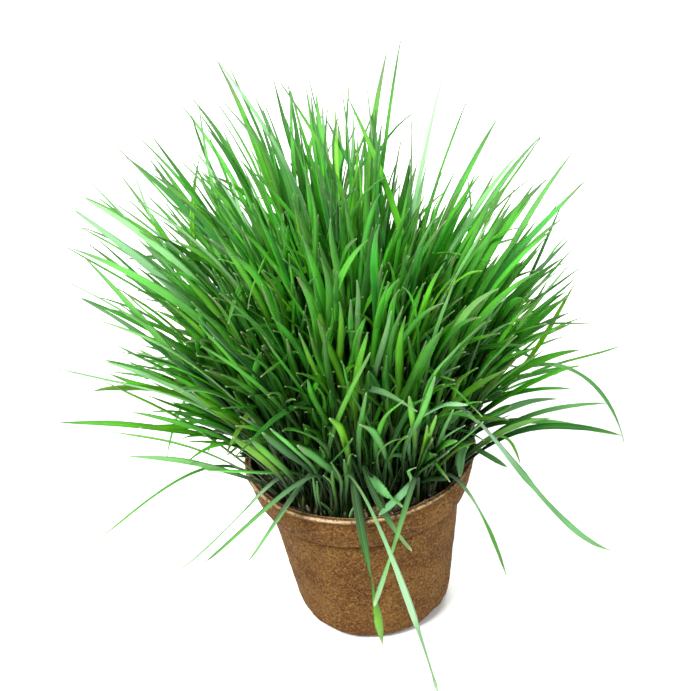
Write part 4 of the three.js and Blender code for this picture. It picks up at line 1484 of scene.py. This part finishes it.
def young_leaves(random, count):
    share = np.sqrt(random.uniform(0.1, 1, count))
    azimuth = random.normal(-90, 80, count) * DEG
    lean_share = share * random.uniform(0.2, 1.1, count) + random.normal(0, 0.2, count)
    length = random.uniform(0.14, 0.55, count)
    width = random.uniform(3.2, 4.8, count)
    return draw_leaves(random, share * (MAT_RADIUS - 1), azimuth, YOUNG_STRAY, lean_share, length, width)


random = np.random.default_rng(14)
young = out_of_front(young_leaves(random, YOUNG_COUNT))
tints = draw_tints(random, len(young["width"]), 0.5, 0.3, 0.6)
grow("young_leaves", young, COARSE, random, tints, wave=1.2, kinked=0.12, stem=0.3, point=0.14, blunt=0.5)
print("young leaves:", len(young["width"]))

# %% [markdown]
# ## Shoots at the wall
#
# Some grains rolled to the edge of the pot and grew there, in the ring of soil. They
# stand close to the wall, nearly upright, and hide most of the soil.

# %% Shoots at the wall
WALL_SHOOT_COUNT = 190
WALL_SHOOT_STRAY = 0.5           # in radians


def wall_shoots(random, count):
    azimuth = random.normal(-105, 75, count) * DEG
    radius = random.uniform(54, 66, count) - 8 * np.maximum(0, -np.sin(azimuth))
    lean_share = random.uniform(0.0, 0.9, count) * (1 + 0.5 * np.minimum(0, np.sin(azimuth)))
    length = random.uniform(0.2, 0.85, count)
    width = random.uniform(2.6, 4.2, count)
    made = draw_leaves(random, radius, azimuth, WALL_SHOOT_STRAY, lean_share, length, width)
    made["control"][:, 0, 2] = np.where(radius < MAT_RADIUS - 1, MAT_TOP - ROOT_DEPTH, SOIL_TOP - SOIL_ROOT)
    return made


random = np.random.default_rng(15)
edge = out_of_front(wall_shoots(random, WALL_SHOOT_COUNT), 150.0)
tints = draw_tints(random, len(edge["width"]), 0.4)
grow("wall_shoots", edge, COARSE, random, tints, stem=0.35, point=0.2)
print("shoots at the wall:", len(edge["width"]))

# %% [markdown]
# ## Leaves of the outline
#
# What one remembers of a tuft is its ragged edge: long single leaves that cross,
# lean back over their neighbours, or stand alone against the light. These are placed
# one by one, by where they are seen. A spot of the view and a depth give a place: the
# line of sight is followed from the camera until it meets the plane at that depth.
# Each leaf has a root, a spot that it passes through, and its tip.

# %% Lines of sight
VIEW = (679, 691)                # width and height of the view, in its own points
LEVEL = 115.0                    # height at which a plane's depth is given


def seen_at(spots, fall=0.0):
    """Places, in millimetres, of spots (across, down, depth) of the view.

    A line of sight is C + t v, with v = (across - W / 2) / F right - (down - H / 2) / F up - back,
    and it meets the plane y = depth - fall (z - LEVEL) where
    t = (depth - fall (C_z - LEVEL) - C_y) / (v_y + fall v_z)."""
    across, down, depth = np.asarray(spots, float).T
    right, up, back, place = camera_frame()
    eye = place / MM
    focus = LENS / SENSOR * max(VIEW)
    side, rise = (across - VIEW[0] / 2) / focus, (down - VIEW[1] / 2) / focus
    sight = side[:, None] * right - rise[:, None] * up - back
    t = (depth - fall * (eye[2] - LEVEL) - eye[1]) / (sight[:, 1] + fall * sight[:, 2])
    return eye + t[:, None] * sight


print("middle of the view, at the pot's axis:", np.round(seen_at([(VIEW[0] / 2, VIEW[1] / 2, 0)]), 1))

# %% Leaves of the outline
OUTLINE = [                      # (root x and y, spot that it passes, spot of its tip, width, tint)
    ((24, 22), (427, 140, 34), (445, 68, 52), 2.6, (0.1, 0.2, 0.8, 0.6)),
    ((36, 8), (463, 175, 24), (496, 120, 44), 5.2, (0.3, 0, 0.6, 0.1)),
    ((20, 22), (408, 178, 30), (411, 121, 50), 3.6, (0.2, 0.2, 0.4, 0.1)),
    ((12, 14), (373, 135, 26), (367, 90, 40), 4.4, (0.2, 0, 0.5, 0.3)),
    ((-14, 8), (352, 168, 26), (376, 105, 50), 3.6, (0.6, 0, 0.5, 0)),
    ((22, 8), (374, 153, 20), (348, 98, 36), 4.6, (0.7, 0, 0.7, 0)),
    ((0, 14), (347, 142, 26), (342, 93, 44), 5.0, (0.3, 0, 0.6, 0.1)),
    ((-8, 4), (322, 140, 16), (316, 94, 30), 6.2, (0.5, 0, 0.9, 0)),
    ((-6, 20), (327, 155, 30), (322, 105, 50), 4.2, (0.3, 0, 0.6, 0.2)),
    ((-22, 16), (292, 130, 26), (291, 82, 40), 4.2, (0.4, 0, 0.5, 0)),
    ((-4, 4), (311, 129, 14), (280, 82, 26), 4.4, (0.7, 0, 0.6, 0)),
    ((-8, 26), (337, 152, 36), (335, 108, 56), 4.6, (1, 0, 0.8, 0)),
    ((-22, 6), (277, 150, 18), (256, 99, 30), 4.6, (0.3, 0, 0.6, 0.1)),
    ((-18, 16), (286, 160, 32), (266, 107, 50), 4.0, (0.4, 0, 0.6, 0)),
    ((-26, 2), (255, 114, 14), (215, 58, 24), 4.2, (0.3, 0, 0.8, 0.5)),
    ((-44, 20), (208, 170, 30), (199, 106, 50), 4.0, (0.4, 0, 0.6, 0.1)),
    ((-48, 12), (170, 171, 26), (142, 140, 40), 4.6, (0.4, 0, 0.4, 0)),
    ((-50, 2), (157, 225, 12), (135, 175, 30), 5.6, (0.2, 0, 0.7, 0.35)),
    ((-52, 16), (146, 209, 34), (122, 177, 50), 3.6, (0.3, 0.2, 0.4, 0)),
    ((-38, 4), (226, 190, 14), (192, 147, 30), 4.6, (0, 0, 0.8, 0.5)),
    ((-40, 10), (216, 198, 24), (183, 163, 40), 4.2, (0.3, 0, 0.4, 0.1)),
    ((-54, 20), (193, 210, 40), (199, 160, 60), 4.6, (0.9, 0, 0.7, 0)),
    ((-36, 14), (246, 185, 30), (224, 132, 50), 4.4, (0.4, 0, 0.6, 0.1)),
    ((-28, 8), (249, 131, 28), (224, 103, 36), 3.0, (0.2, 0.2, 0.4, 0.1)),
    ((-52, -4), (131, 222, -2), (91, 182, 10), 4.4, (0.2, 0, 0.5, 0.1)),
    ((-50, -10), (126, 223, -10), (82, 197, 0), 5.6, (0.3, 0, 0.8, 0.4)),
    ((-48, -16), (130, 250, -18), (73, 210, -10), 6.0, (0, 0, 0.6, 0.4)),
    ((-46, -26), (143, 280, -34), (73, 249, -30), 5.0, (0.5, 0, 0.7, 0.1)),
    ((-44, -36), (150, 328, -44), (84, 257, -40), 4.0, (0.6, 0, 0.6, 0.1)),
    ((-50, -28), (120, 310, -34), (68, 282, -30), 2.6, (0.6, 0.4, 0.4, 0.2)),
    ((-46, -36), (151, 342, -46), (82, 299, -44), 6.2, (0.1, 0, 0.3, 0.15)),
    ((-44, -40), (150, 340, -52), (101, 321, -52), 4.6, (0.7, 0, 0.8, 0.3)),
    ((-46, -38), (190, 397, -54), (103, 361, -52), 5.0, (0.3, 0, 0.8, 0.45)),
    ((-44, -40), (172, 394, -56), (104, 380, -56), 4.6, (0.4, 0, 0.9, 0.4)),
    ((-50, -32), (180, 420, -54), (106, 382, -50), 4.0, (0.8, 0, 0.5, 0)),
    ((-46, -38), (195, 427, -60), (131, 412, -60), 5.4, (0.5, 0, 0.6, 0.1)),
    ((-50, -34), (195, 450, -62), (113, 432, -60), 4.0, (0.7, 0.2, 0.5, 0.1)),
    ((-52, -32), (195, 463, -66), (126, 456, -66), 4.2, (0.6, 0, 0.5, 0.3)),
    ((50, 10), (528, 216, 24), (572, 153, 40), 4.2, (0.4, 0, 0.5, 0.1)),
    ((44, 18), (497, 190, 34), (540, 137, 50), 4.0, (0.3, 0, 0.5, 0.1)),
    ((40, 2), (484, 195, 16), (518, 154, 30), 4.4, (0.4, 0, 0.5, 0.3)),
    ((46, 16), (496, 206, 36), (532, 177, 50), 3.6, (0.5, 0.2, 0.5, 0.1)),
    ((56, 4), (533, 270, 20), (560, 208, 40), 4.6, (0.2, 0, 0.2, 0)),
    ((54, -8), (530, 283, 4), (571, 238, 20), 4.6, (0, 0, 0.3, 0.2)),
    ((54, -14), (538, 302, -6), (568, 265, 10), 4.8, (0.3, 0, 0.8, 0.4)),
    ((58, 0), (543, 335, 12), (574, 285, 30), 4.8, (1, 0, 0.6, 0)),
    ((60, 12), (530, 320, 34), (566, 298, 50), 4.0, (0.5, 0, 0.3, 0)),
    ((62, 4), (510, 360, 20), (562, 337, 40), 3.8, (0.4, 0, 0.4, 0.1)),
    ((54, -24), (535, 362, -26), (580, 350, -20), 5.0, (0.6, 0, 0.5, 0)),
    ((56, -26), (535, 414, -36), (607, 403, -30), 4.6, (0.3, 0, 0.4, 0.1)),
    ((54, -30), (530, 430, -44), (620, 435, -40), 4.4, (0.2, 0, 0.1, 0)),
    ((54, -30), (515, 406, -42), (557, 399, -40), 4.0, (0.2, 0, 0.4, 0.2)),
    ((52, -34), (516, 426, -46), (550, 418, -46), 3.6, (0.8, 0, 0.5, 0.1)),
    ((54, -30), (505, 437, -42), (520, 463, -40), 3.8, (0.8, 0.3, 0.4, 0)),
]


def passing_curves(root, middle, tip):
    """Control points of curves from root to tip that pass through middle.

    With one handle c, a curve is at middle a part t of the way where
    c = (middle - (1 - t)^2 root - t^2 tip) / (2 t (1 - t)), and t is the part of the two
    straight distances that lies before middle. Two handles two thirds of the way to c
    draw the same curve."""
    first = np.linalg.norm(middle - root, axis=1)
    t = (first / (first + np.linalg.norm(tip - middle, axis=1)))[:, None]
    c = (middle - (1 - t) ** 2 * root - t * t * tip) / (2 * t * (1 - t))
    return np.stack([root, root + (c - root) * 2 / 3, tip + (c - tip) * 2 / 3, tip], 1)


def outline_leaves(random):
    root = np.array([[*row[0], MAT_TOP - ROOT_DEPTH] for row in OUTLINE], float)
    middle, tip = (seen_at([row[i] for row in OUTLINE]) for i in (1, 2))
    count = len(OUTLINE)
    return {"control": passing_curves(root, middle, tip), "heading": azimuth_of(tip - root),
            "roll": random.uniform(-50, 50, count) * DEG, "twist": random.uniform(-70, 70, count) * DEG,
            "width": np.array([row[3] for row in OUTLINE])}


random = np.random.default_rng(17)
tints = np.array([row[4] for row in OUTLINE])
grow("outline_leaves", outline_leaves(random), STATIONS, random, tints, wave=2.0, kinked=0.0, point=0.24)
print("leaves of the outline:", len(OUTLINE))

# %% [markdown]
# ## Trailing leaves
#
# Each takes the place of its own solid. The stem goes straight down into the hole,
# so its stations start below the curve's first point. Seen close, no two are alike:
# one turns its edge to the eye half-way down, one is nearly white where the light
# glances off it, and some end in a soft, fresh tip. For each of the first ten, rows
# of numbers say at which share of its length it is turned how far, how wide it is
# there, and how yellow, light and whitish. Between the rows the numbers are
# blended. The others, at the sides and the back, share one plain set of rows.

# %% Trailing leaves
HOLE_DEPTH = 12.0
FINE = np.concatenate([[-0.06, -0.03], np.linspace(0, 0.86, 30),
                       [0.89, 0.92, 0.94, 0.96, 0.975, 0.985, 0.993, 1.0]])
PLAIN = ((0, 0, 0.4, 0.2, 0.3, 0.1), (0.3, 0, 0.8, 0.3, 0.5, 0.1), (0.5, 10, 1.0, 0.4, 0.6, 0.0),
         (0.75, 20, 0.9, 0.4, 0.7, 0.1), (0.92, 20, 0.5, 0.5, 0.8, 0.1), (1, 20, 0.08, 0.5, 0.8, 0.1))
LOOKS = {                        # number: rows of (share, turn, part of the width, yellow, light, whitish)
    1: ((0, 0, 0.35, 0.3, 0.2, 0.0), (0.3, 0, 0.35, 0.3, 0.2, 0.0), (0.42, 0, 0.45, 0.3, 0.3, 0.05),
        (0.50, 0, 0.75, 0.3, 0.45, 0.1), (0.60, 0, 1.0, 0.35, 0.55, 0.15), (0.70, 15, 0.9, 0.4, 0.55, 0.1),
        (0.78, 80, 0.75, 0.6, 0.7, 0.05), (0.85, 130, 0.75, 0.9, 1.2, 0.0), (0.91, 172, 1.05, 1.0, 1.6, 0.05),
        (0.95, 178, 0.9, 1.0, 1.6, 0.1), (1, 180, 0.08, 1.0, 1.6, 0.1)),
    2: ((0, 0, 0.25, 0.6, 0.0, 0.0), (0.3, 0, 0.26, 0.7, 0.3, 0.15), (0.44, 0, 0.32, 0.8, 1.0, 0.4),
        (0.56, 0, 0.44, 0.7, 1.0, 0.5), (0.66, 0, 0.56, 0.4, 1.0, 0.65), (0.74, 0, 0.85, 0.2, 1.0, 0.8),
        (0.79, 0, 0.98, 0.1, 1.0, 0.85), (0.83, 0, 0.9, 0.1, 1.0, 0.85), (0.85, 0, 0.6, 0.1, 0.9, 0.6),
        (0.88, 10, 0.36, 0.2, 0.6, 0.4), (0.92, 20, 0.26, 0.2, 0.5, 0.4), (0.96, 30, 0.25, 0.2, 0.5, 0.4),
        (0.985, 30, 0.42, 0.2, 0.6, 0.5), (1, 30, 0.08, 0.2, 0.6, 0.5)),
    3: ((0, 10, 0.4, 0.2, 0.3, 0.0), (0.3, 10, 0.7, 0.2, 0.4, 0.15), (0.5, 10, 0.85, 0.3, 0.5, 0.15),
        (0.63, 10, 0.92, 0.5, 0.6, 0.2), (0.72, 10, 0.7, 0.6, 0.7, 0.25), (0.80, 20, 0.55, 0.7, 0.8, 0.25),
        (0.84, 20, 0.6, 0.5, 0.9, 0.35), (0.90, 20, 0.95, 0.3, 1.0, 0.45), (0.95, 20, 1.0, 0.3, 1.0, 0.5),
        (0.985, 20, 0.75, 0.3, 1.0, 0.55), (1, 20, 0.3, 0.3, 1.0, 0.55)),
    4: ((0, 0, 0.3, 0.3, 0.15, 0.0), (0.4, 0, 0.35, 0.3, 0.2, 0.0), (0.55, 0, 0.5, 0.3, 0.3, 0.05),
        (0.65, 0, 0.8, 0.3, 0.45, 0.1), (0.75, 5, 0.85, 0.4, 0.7, 0.15), (0.83, 10, 0.7, 0.6, 0.8, 0.25),
        (0.90, 20, 0.42, 0.9, 1.0, 0.4), (0.95, 20, 0.45, 1.0, 1.2, 0.5), (0.985, 20, 0.35, 1.0, 1.2, 0.6),
        (1, 20, 0.1, 1.0, 1.2, 0.6)),
    5: ((0, 0, 0.3, 0.2, 0.2, 0.0), (0.35, 0, 0.5, 0.2, 0.4, 0.1), (0.45, 0, 0.8, 0.2, 0.6, 0.3),
        (0.55, 0, 1.0, 0.2, 0.6, 0.25), (0.70, 5, 0.95, 0.35, 0.55, 0.15), (0.85, 10, 0.95, 0.4, 0.55, 0.1),
        (0.95, 10, 0.55, 0.4, 0.6, 0.1), (1, 10, 0.08, 0.4, 0.6, 0.1)),
    6: ((0, 0, 0.3, 0.4, 0.3, 0.0), (0.4, 0, 0.5, 0.4, 0.6, 0.1), (0.52, 5, 0.9, 0.4, 0.9, 0.3),
        (0.62, 10, 1.15, 0.4, 1.0, 0.4), (0.75, 10, 1.0, 0.4, 1.0, 0.35), (0.88, 10, 0.6, 0.4, 0.9, 0.3),
        (0.95, 10, 0.35, 0.4, 0.7, 0.25), (1, 10, 0.08, 0.4, 0.6, 0.2)),
    7: ((0, 0, 0.3, 0.3, 0.3, 0.1), (0.35, 0, 0.5, 0.3, 0.5, 0.2), (0.45, 0, 0.8, 0.3, 0.9, 0.5),
        (0.52, 0, 0.9, 0.3, 1.0, 0.6), (0.60, 10, 0.8, 0.3, 1.0, 0.6), (0.66, 30, 0.4, 0.5, 0.7, 0.4),
        (0.75, 30, 0.3, 0.5, 0.5, 0.4), (0.85, 20, 0.45, 0.4, 0.8, 0.45), (0.93, 20, 0.35, 0.4, 0.8, 0.4),
        (1, 20, 0.08, 0.4, 0.7, 0.4)),
    8: ((0, 0, 0.4, 0.1, 0.3, 0.1), (0.2, 0, 0.75, 0.0, 0.7, 0.5), (0.3, 0, 0.8, 0.0, 1.0, 0.85),
        (0.40, 5, 0.6, 0.0, 1.0, 1.0), (0.5, 10, 0.65, 0.1, 1.0, 0.95), (0.58, 20, 0.8, 0.2, 0.8, 0.6),
        (0.64, 20, 1.1, 0.2, 0.7, 0.2), (0.69, 40, 0.5, 0.2, 0.7, 0.3), (0.76, 30, 0.6, 0.1, 0.5, 0.2),
        (0.84, 20, 0.9, 0.1, 0.7, 0.3), (0.93, 20, 0.6, 0.1, 0.7, 0.2), (1, 20, 0.08, 0.1, 0.6, 0.2)),
    9: ((0, 0, 0.5, 0.2, 0.4, 0.2), (0.3, 0, 0.75, 0.2, 0.5, 0.3), (0.5, 0, 0.85, 0.3, 0.6, 0.35),
        (0.60, 20, 0.6, 0.4, 0.8, 0.5), (0.68, 40, 0.3, 0.5, 0.9, 0.6), (0.76, 30, 0.4, 0.6, 0.6, 0.1),
        (0.87, 10, 1.0, 0.6, 0.5, 0.0), (0.94, 10, 0.7, 0.6, 0.5, 0.0), (1, 10, 0.08, 0.6, 0.5, 0.1)),
    10: ((0, 0, 0.4, 0.4, 0.5, 0.0), (0.4, 0, 0.8, 0.5, 0.8, 0.1), (0.6, 30, 0.6, 0.4, 0.7, 0.2),
         (0.70, 50, 0.45, 0.2, 0.3, 0.1), (0.82, 30, 0.75, 0.2, 0.3, 0.1), (0.90, 30, 0.6, 0.2, 0.3, 0.1),
         (0.95, 30, 0.28, 0.2, 0.4, 0.2), (1, 30, 0.08, 0.2, 0.4, 0.3)),
}


def trailing_centres(curves, share):
    """Curve points, with the part before the start carried straight down into the hole."""
    inside = bezier(curves, np.maximum(share, 0))
    depth = (HOLE_DEPTH - 1.0) * np.minimum(share, 0) / -share.min()
    return inside + depth[None, :, None] * np.array([0, 0, 1.0])


def make_trailing(number):
    """The leaf of a numbered solid: its rows of looks are blended along it."""
    share = np.maximum(FINE, 0)
    rows = np.array(LOOKS.get(number, PLAIN))
    angle, part, yellow, light, whitish = (np.interp(share, rows[:, 0], rows[:, i]) for i in range(1, 6))
    curve = TRAILING_CURVES[number - 1:number]
    centre = trailing_centres(curve, FINE)
    way = curve[:, 3] - curve[:, 0]
    width = TRAILING[number - 1][4] * part[None]
    rings = leaf_points(centre, np.gradient(centre, FINE, axis=1), azimuth_of(way),
                        angle[None] * DEG, width, share, (0.05, 0.22))
    tints = np.stack([yellow, np.zeros(len(share)), light, whitish], 1)
    piece = make_leaves(f"trailing_leaf_{number:02d}_blade", rings, share, tints[None])
    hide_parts(f"trailing_leaf_{number:02d}")


for number in range(1, len(TRAILING) + 1):
    make_trailing(number)
print("trailing leaves:", len(TRAILING))

# %% [markdown]
# ## Small leaves at the rim
#
# The front of a tuft is what one sees first, so the small leaves there are placed one
# by one: hooked and spoon-shaped young ones, one that arches over the rim and twists,
# and a few bare, whitish stems. Each row has a root, two spots that the leaf passes
# and its tip.
#
# Most of these leaves stand in the front of the tuft, which leans towards the viewer
# as it rises. A plane that slopes like it, the sheet, gives their spots a depth:
# the first spot lies a little inside the sheet, and the tip a little outside it.
# Leaves that hang over the rim have a depth of their own for each spot.

# %% Places of the small leaves
SHEET_FALL = 0.42                # how much nearer the front of the tuft is for each millimetre up
SHEET_DOWN, SHEET_DEPTH = (462, 500), (-51, -60)    # how far down the view, and its depth there
SHEET_OUT = (1.0, -1.5, -4.0)    # where the three spots of a leaf lie beside the sheet
RIM_LEAVES = [                   # (root x and y, two spots that it passes, its tip, width, roll, twist, tint)
    ((-4, -55), (360, 465, -59), (382, 490, -71), (404, 508, -80), 6.4, -20, 560, (0.2, 0, 1, 0.5)),
    ((22, -50), (405, 467, -56), (400, 455, -60), (372, 463, -62), 4.2, 20, 60, (0.2, 0, 0.9, 0.3)),
    ((20, -48), (379, 442), (370, 429), (359, 424), 5.0, -20, 40, (0.3, 0.3, 0.9, 0.3)),
    ((-10, -54), (345, 441), (338, 425), (329, 418), 4.8, 20, 30, (0.9, 0, 0.8, 0)),
    ((-20, -54), (311, 465), (295, 450), (270, 428), 4.6, -10, 20, (0.3, 0, 0.9, 0.25)),
    ((-18, -60), (341, 482), (320, 461), (297, 445), 4.8, 10, 50, (0.3, 0.6, 0.8, 0.25)),
    ((-12, -58), (347, 466), (353, 454), (356, 456), 1.6, 0, 0, (0.6, 0, 0.8, 0.8)),
    ((34, -48), (437, 449), (447, 443), (457, 441), 5.6, 20, 30, (0.6, 0, 0.9, 0.15)),
    ((54, -26), (471, 438, -36), (461, 453, -46), (460, 477, -55), 6.0, 30, -20, (0.1, 0, 0.9, 0.6)),
    ((24, -56), (415, 480, -61), (399, 497, -71), (379, 515, -82), 4.8, 10, -30, (0, 0, 1, 0.75)),
    ((22, -55), (412, 488, -60), (424, 480, -60), (449, 479, -58), 5.2, -20, 20, (0.1, 0, 0.35, 0.15)),
    ((22, -50), (422, 463), (427, 449), (432, 438), 7.0, 10, 20, (0.5, 0.4, 0.12, 0)),
    ((30, -44), (428, 440), (433, 425), (436, 415), 5.6, 0, 30, (0.9, 0, 0.7, 0.1)),
    ((26, -46), (423, 450), (426, 437), (427, 425), 4.0, 10, 20, (0.9, 0, 0.7, 0.05)),
    ((-10, -63), (350, 514, -64), (351, 511, -64), (353, 507, -64), 2.4, 0, 0, (0.6, 0, 1, 1)),
    ((-20, -60), (335, 497), (331, 482), (323, 475), 2.2, 0, 0, (0.8, 0, 0.7, 0.35)),
    ((-18, -61), (336, 500), (333, 485), (332, 471), 2.4, 0, 0, (0.8, 0, 0.45, 0.1)),
    ((-16, -60), (341, 496), (341, 481), (331, 462), 2.2, 0, 0, (0.6, 0, 0.5, 0.3)),
    ((-12, -59), (346, 498), (347, 480), (344, 459), 3.0, 0, 0, (0.4, 0, 0.3, 0.1)),
    ((-30, -52), (317, 503), (315, 490), (313, 478), 1.8, 0, 0, (0.5, 0, 0.6, 0.35)),
    ((-26, -54), (321, 508), (318, 496), (317, 481), 1.6, 0, 0, (0.5, 0, 0.6, 0.25)),
    ((-18, -62), (333, 514, -63), (328, 508, -63), (321, 502, -62), 4.6, 20, 20, (0.2, 0, 0.6, 0.15)),
    ((-26, -52), (330, 463), (343, 449), (352, 438), 4.4, 10, 20, (0.3, 0, 0.5, 0.05)),
    ((16, -50), (383, 447), (394, 440), (404, 438), 1.6, 0, 0, (0.7, 0.9, 0.6, 0.3)),
    ((24, -48), (406, 445), (421, 416), (435, 376), 5.8, -10, 30, (0.5, 0, 0.6, 0.2)),
    ((26, -46), (415, 430), (412, 413), (409, 396), 4.8, 10, 20, (0.8, 0, 0.6, 0.1)),
    ((12, -45), (379, 432), (389, 411), (403, 400), 5.0, -10, 40, (0.6, 0, 0.7, 0.1)),
    ((-2, -46), (360, 426), (363, 410), (366, 392), 4.6, 10, 30, (0.3, 0, 0.5, 0.15)),
    ((-26, -48), (331, 440), (348, 396), (370, 352), 5.8, -10, 30, (0.7, 0, 0.4, 0.05)),
    ((28, -45), (420, 420), (436, 370), (460, 343), 5.0, 0, 30, (0.4, 0, 0.4, 0.1)),
    ((30, -46), (430, 411), (447, 404), (468, 405), 5.6, 0, 10, (0, 0, 1.2, 1)),
    ((46, -32), (459, 414), (468, 415), (479, 424), 3.6, 0, 20, (0.3, 0, 0.5, 0.2)),
    ((54, -24), (474, 448, -38), (489, 456, -42), (507, 467, -46), 3.4, 0, 40, (0.4, 0, 0.3, 0.2)),
    ((36, -42), (443, 438), (453, 431), (465, 425), 2.0, 0, 0, (0.5, 0, 0.4, 0.35)),
    ((30, -46), (440, 456), (458, 442), (483, 421), 6.2, -10, 20, (0.4, 0, 0.3, 0.1)),
    ((24, -50), (421, 470), (434, 461), (449, 450), 7.0, -10, 10, (0.4, 0, 0.15, 0)),
    ((32, -42), (440, 440), (446, 424), (453, 409), 5.6, 10, 20, (0.3, 0, 0.3, 0.15)),
    ((-34, -46), (303, 474, -62), (262, 472, -68), (204, 469, -74), 5.4, 0, 20, (0.4, 0, 0.8, 0.25)),
    ((-28, -48), (306, 467), (290, 456), (262, 432), 7.0, 0, 10, (0.1, 0, 0.12, 0.05)),
    ((-34, -44), (285, 470), (270, 457), (250, 438), 5.2, 10, 20, (0.7, 0, 0.45, 0.1)),
    ((-42, -36), (272, 468), (258, 456), (232, 436), 7.0, 0, 10, (1, 0, 0.3, 0)),
    ((24, -52), (411, 478), (409, 470), (416, 467), 2.2, 0, 0, (0.6, 0.3, 1, 0.7)),
]
print("leaves at the rim:", len(RIM_LEAVES))

# %% Smooth lines through the spots
def smooth_paths(points, share):
    """Smooth lines through all points of each row, at shares of the straight way between them.

    Between neighbouring points p and q, a distance h apart, the line is
    (2t^3 - 3t^2 + 1) p + (3t^2 - 2t^3) q + h (t^3 - 2t^2 + t) u + h (t^3 - t^2) v
    a part t of the way, where u and v are its directions at p and at q. At a point
    between two others its direction is the mean of theirs, and leans to the nearer one."""
    step = np.diff(points, axis=1)
    size = np.linalg.norm(step, axis=2, keepdims=True)
    travel = step / size
    inner = (travel[:, :-1] * size[:, 1:] + travel[:, 1:] * size[:, :-1]) / (size[:, 1:] + size[:, :-1])
    travel = np.concatenate([travel[:, :1], inner, travel[:, -1:]], 1)
    ends = np.concatenate([np.zeros((len(points), 1)), np.cumsum(size[..., 0], 1)], 1)
    place = share[None] * ends[:, -1:]
    span = (place[..., None] > ends[:, None, 1:-1]).sum(2)[..., None]
    p, q, u, v, h, start = (np.take_along_axis(values, span, 1) for values in (
        points[:, :-1], points[:, 1:], travel[:, :-1], travel[:, 1:], size, ends[:, :-1, None]))
    t = (place[..., None] - start) / h
    return ((2 * t ** 3 - 3 * t * t + 1) * p + (3 * t * t - 2 * t ** 3) * q
            + h * (t ** 3 - 2 * t * t + t) * u + h * (t ** 3 - t * t) * v)


def rim_places(spots):
    """Places of a leaf's three spots: at their own depths, or on the sloped sheet."""
    if len(spots[0]) == 3:
        return seen_at(spots)
    across, down = np.array(spots, float).T
    depth = np.interp(down, SHEET_DOWN, SHEET_DEPTH) + SHEET_OUT
    return seen_at(np.column_stack([across, down, depth]), SHEET_FALL)


print("the first leaf's spots in mm:", rim_places(RIM_LEAVES[0][1:4]).round().tolist())

# %% Small leaves at the rim
ROOT_TINT = (0.3, 0.0, 0.2, 0.0)   # their roots stand in the shade
TIP_LIGHT = (1, 1, 1.6, 0.6)       # and their blades in the light, before the shaded stems


def rim_leaves(share):
    """Rings of the small leaves. Those beside the mat are rooted a little deeper, in the soil."""
    spots = np.array([row[0] for row in RIM_LEAVES], float)
    in_mat = np.hypot(*spots.T) < MAT_RADIUS - 1
    root = np.column_stack([spots, np.where(in_mat, MAT_TOP - ROOT_DEPTH, SOIL_TOP - SOIL_ROOT)])
    points = np.concatenate([root[:, None], np.array([rim_places(row[1:4]) for row in RIM_LEAVES])], 1)
    centre = smooth_paths(points, share)
    width, roll, twist = np.array([row[4:7] for row in RIM_LEAVES], float).T
    slope = np.gradient(centre, share, axis=1)
    turned = (roll[:, None] + twist[:, None] * share) * DEG
    widths = leaf_width(share, width, stem=0.3, point=0.14, blunt=0.5)
    return leaf_points(centre, slope, azimuth_of(points[:, 3] - root), turned, widths, share)


RIM_STATIONS = np.concatenate([np.linspace(0, 0.9, 28), [0.925, 0.95, 0.97, 0.985, 1.0]])
tip_tints = np.array([row[7] for row in RIM_LEAVES]) * TIP_LIGHT
along = smoothstep(RIM_STATIONS, 0.2, 0.7)[None, :, None]
tints = np.array(ROOT_TINT) * (1 - along) + tip_tints[:, None] * along
rim = make_leaves("rim_leaves", rim_leaves(RIM_STATIONS), RIM_STATIONS, tints)
print("faces of the leaves at the rim:", len(rim.data.polygons))
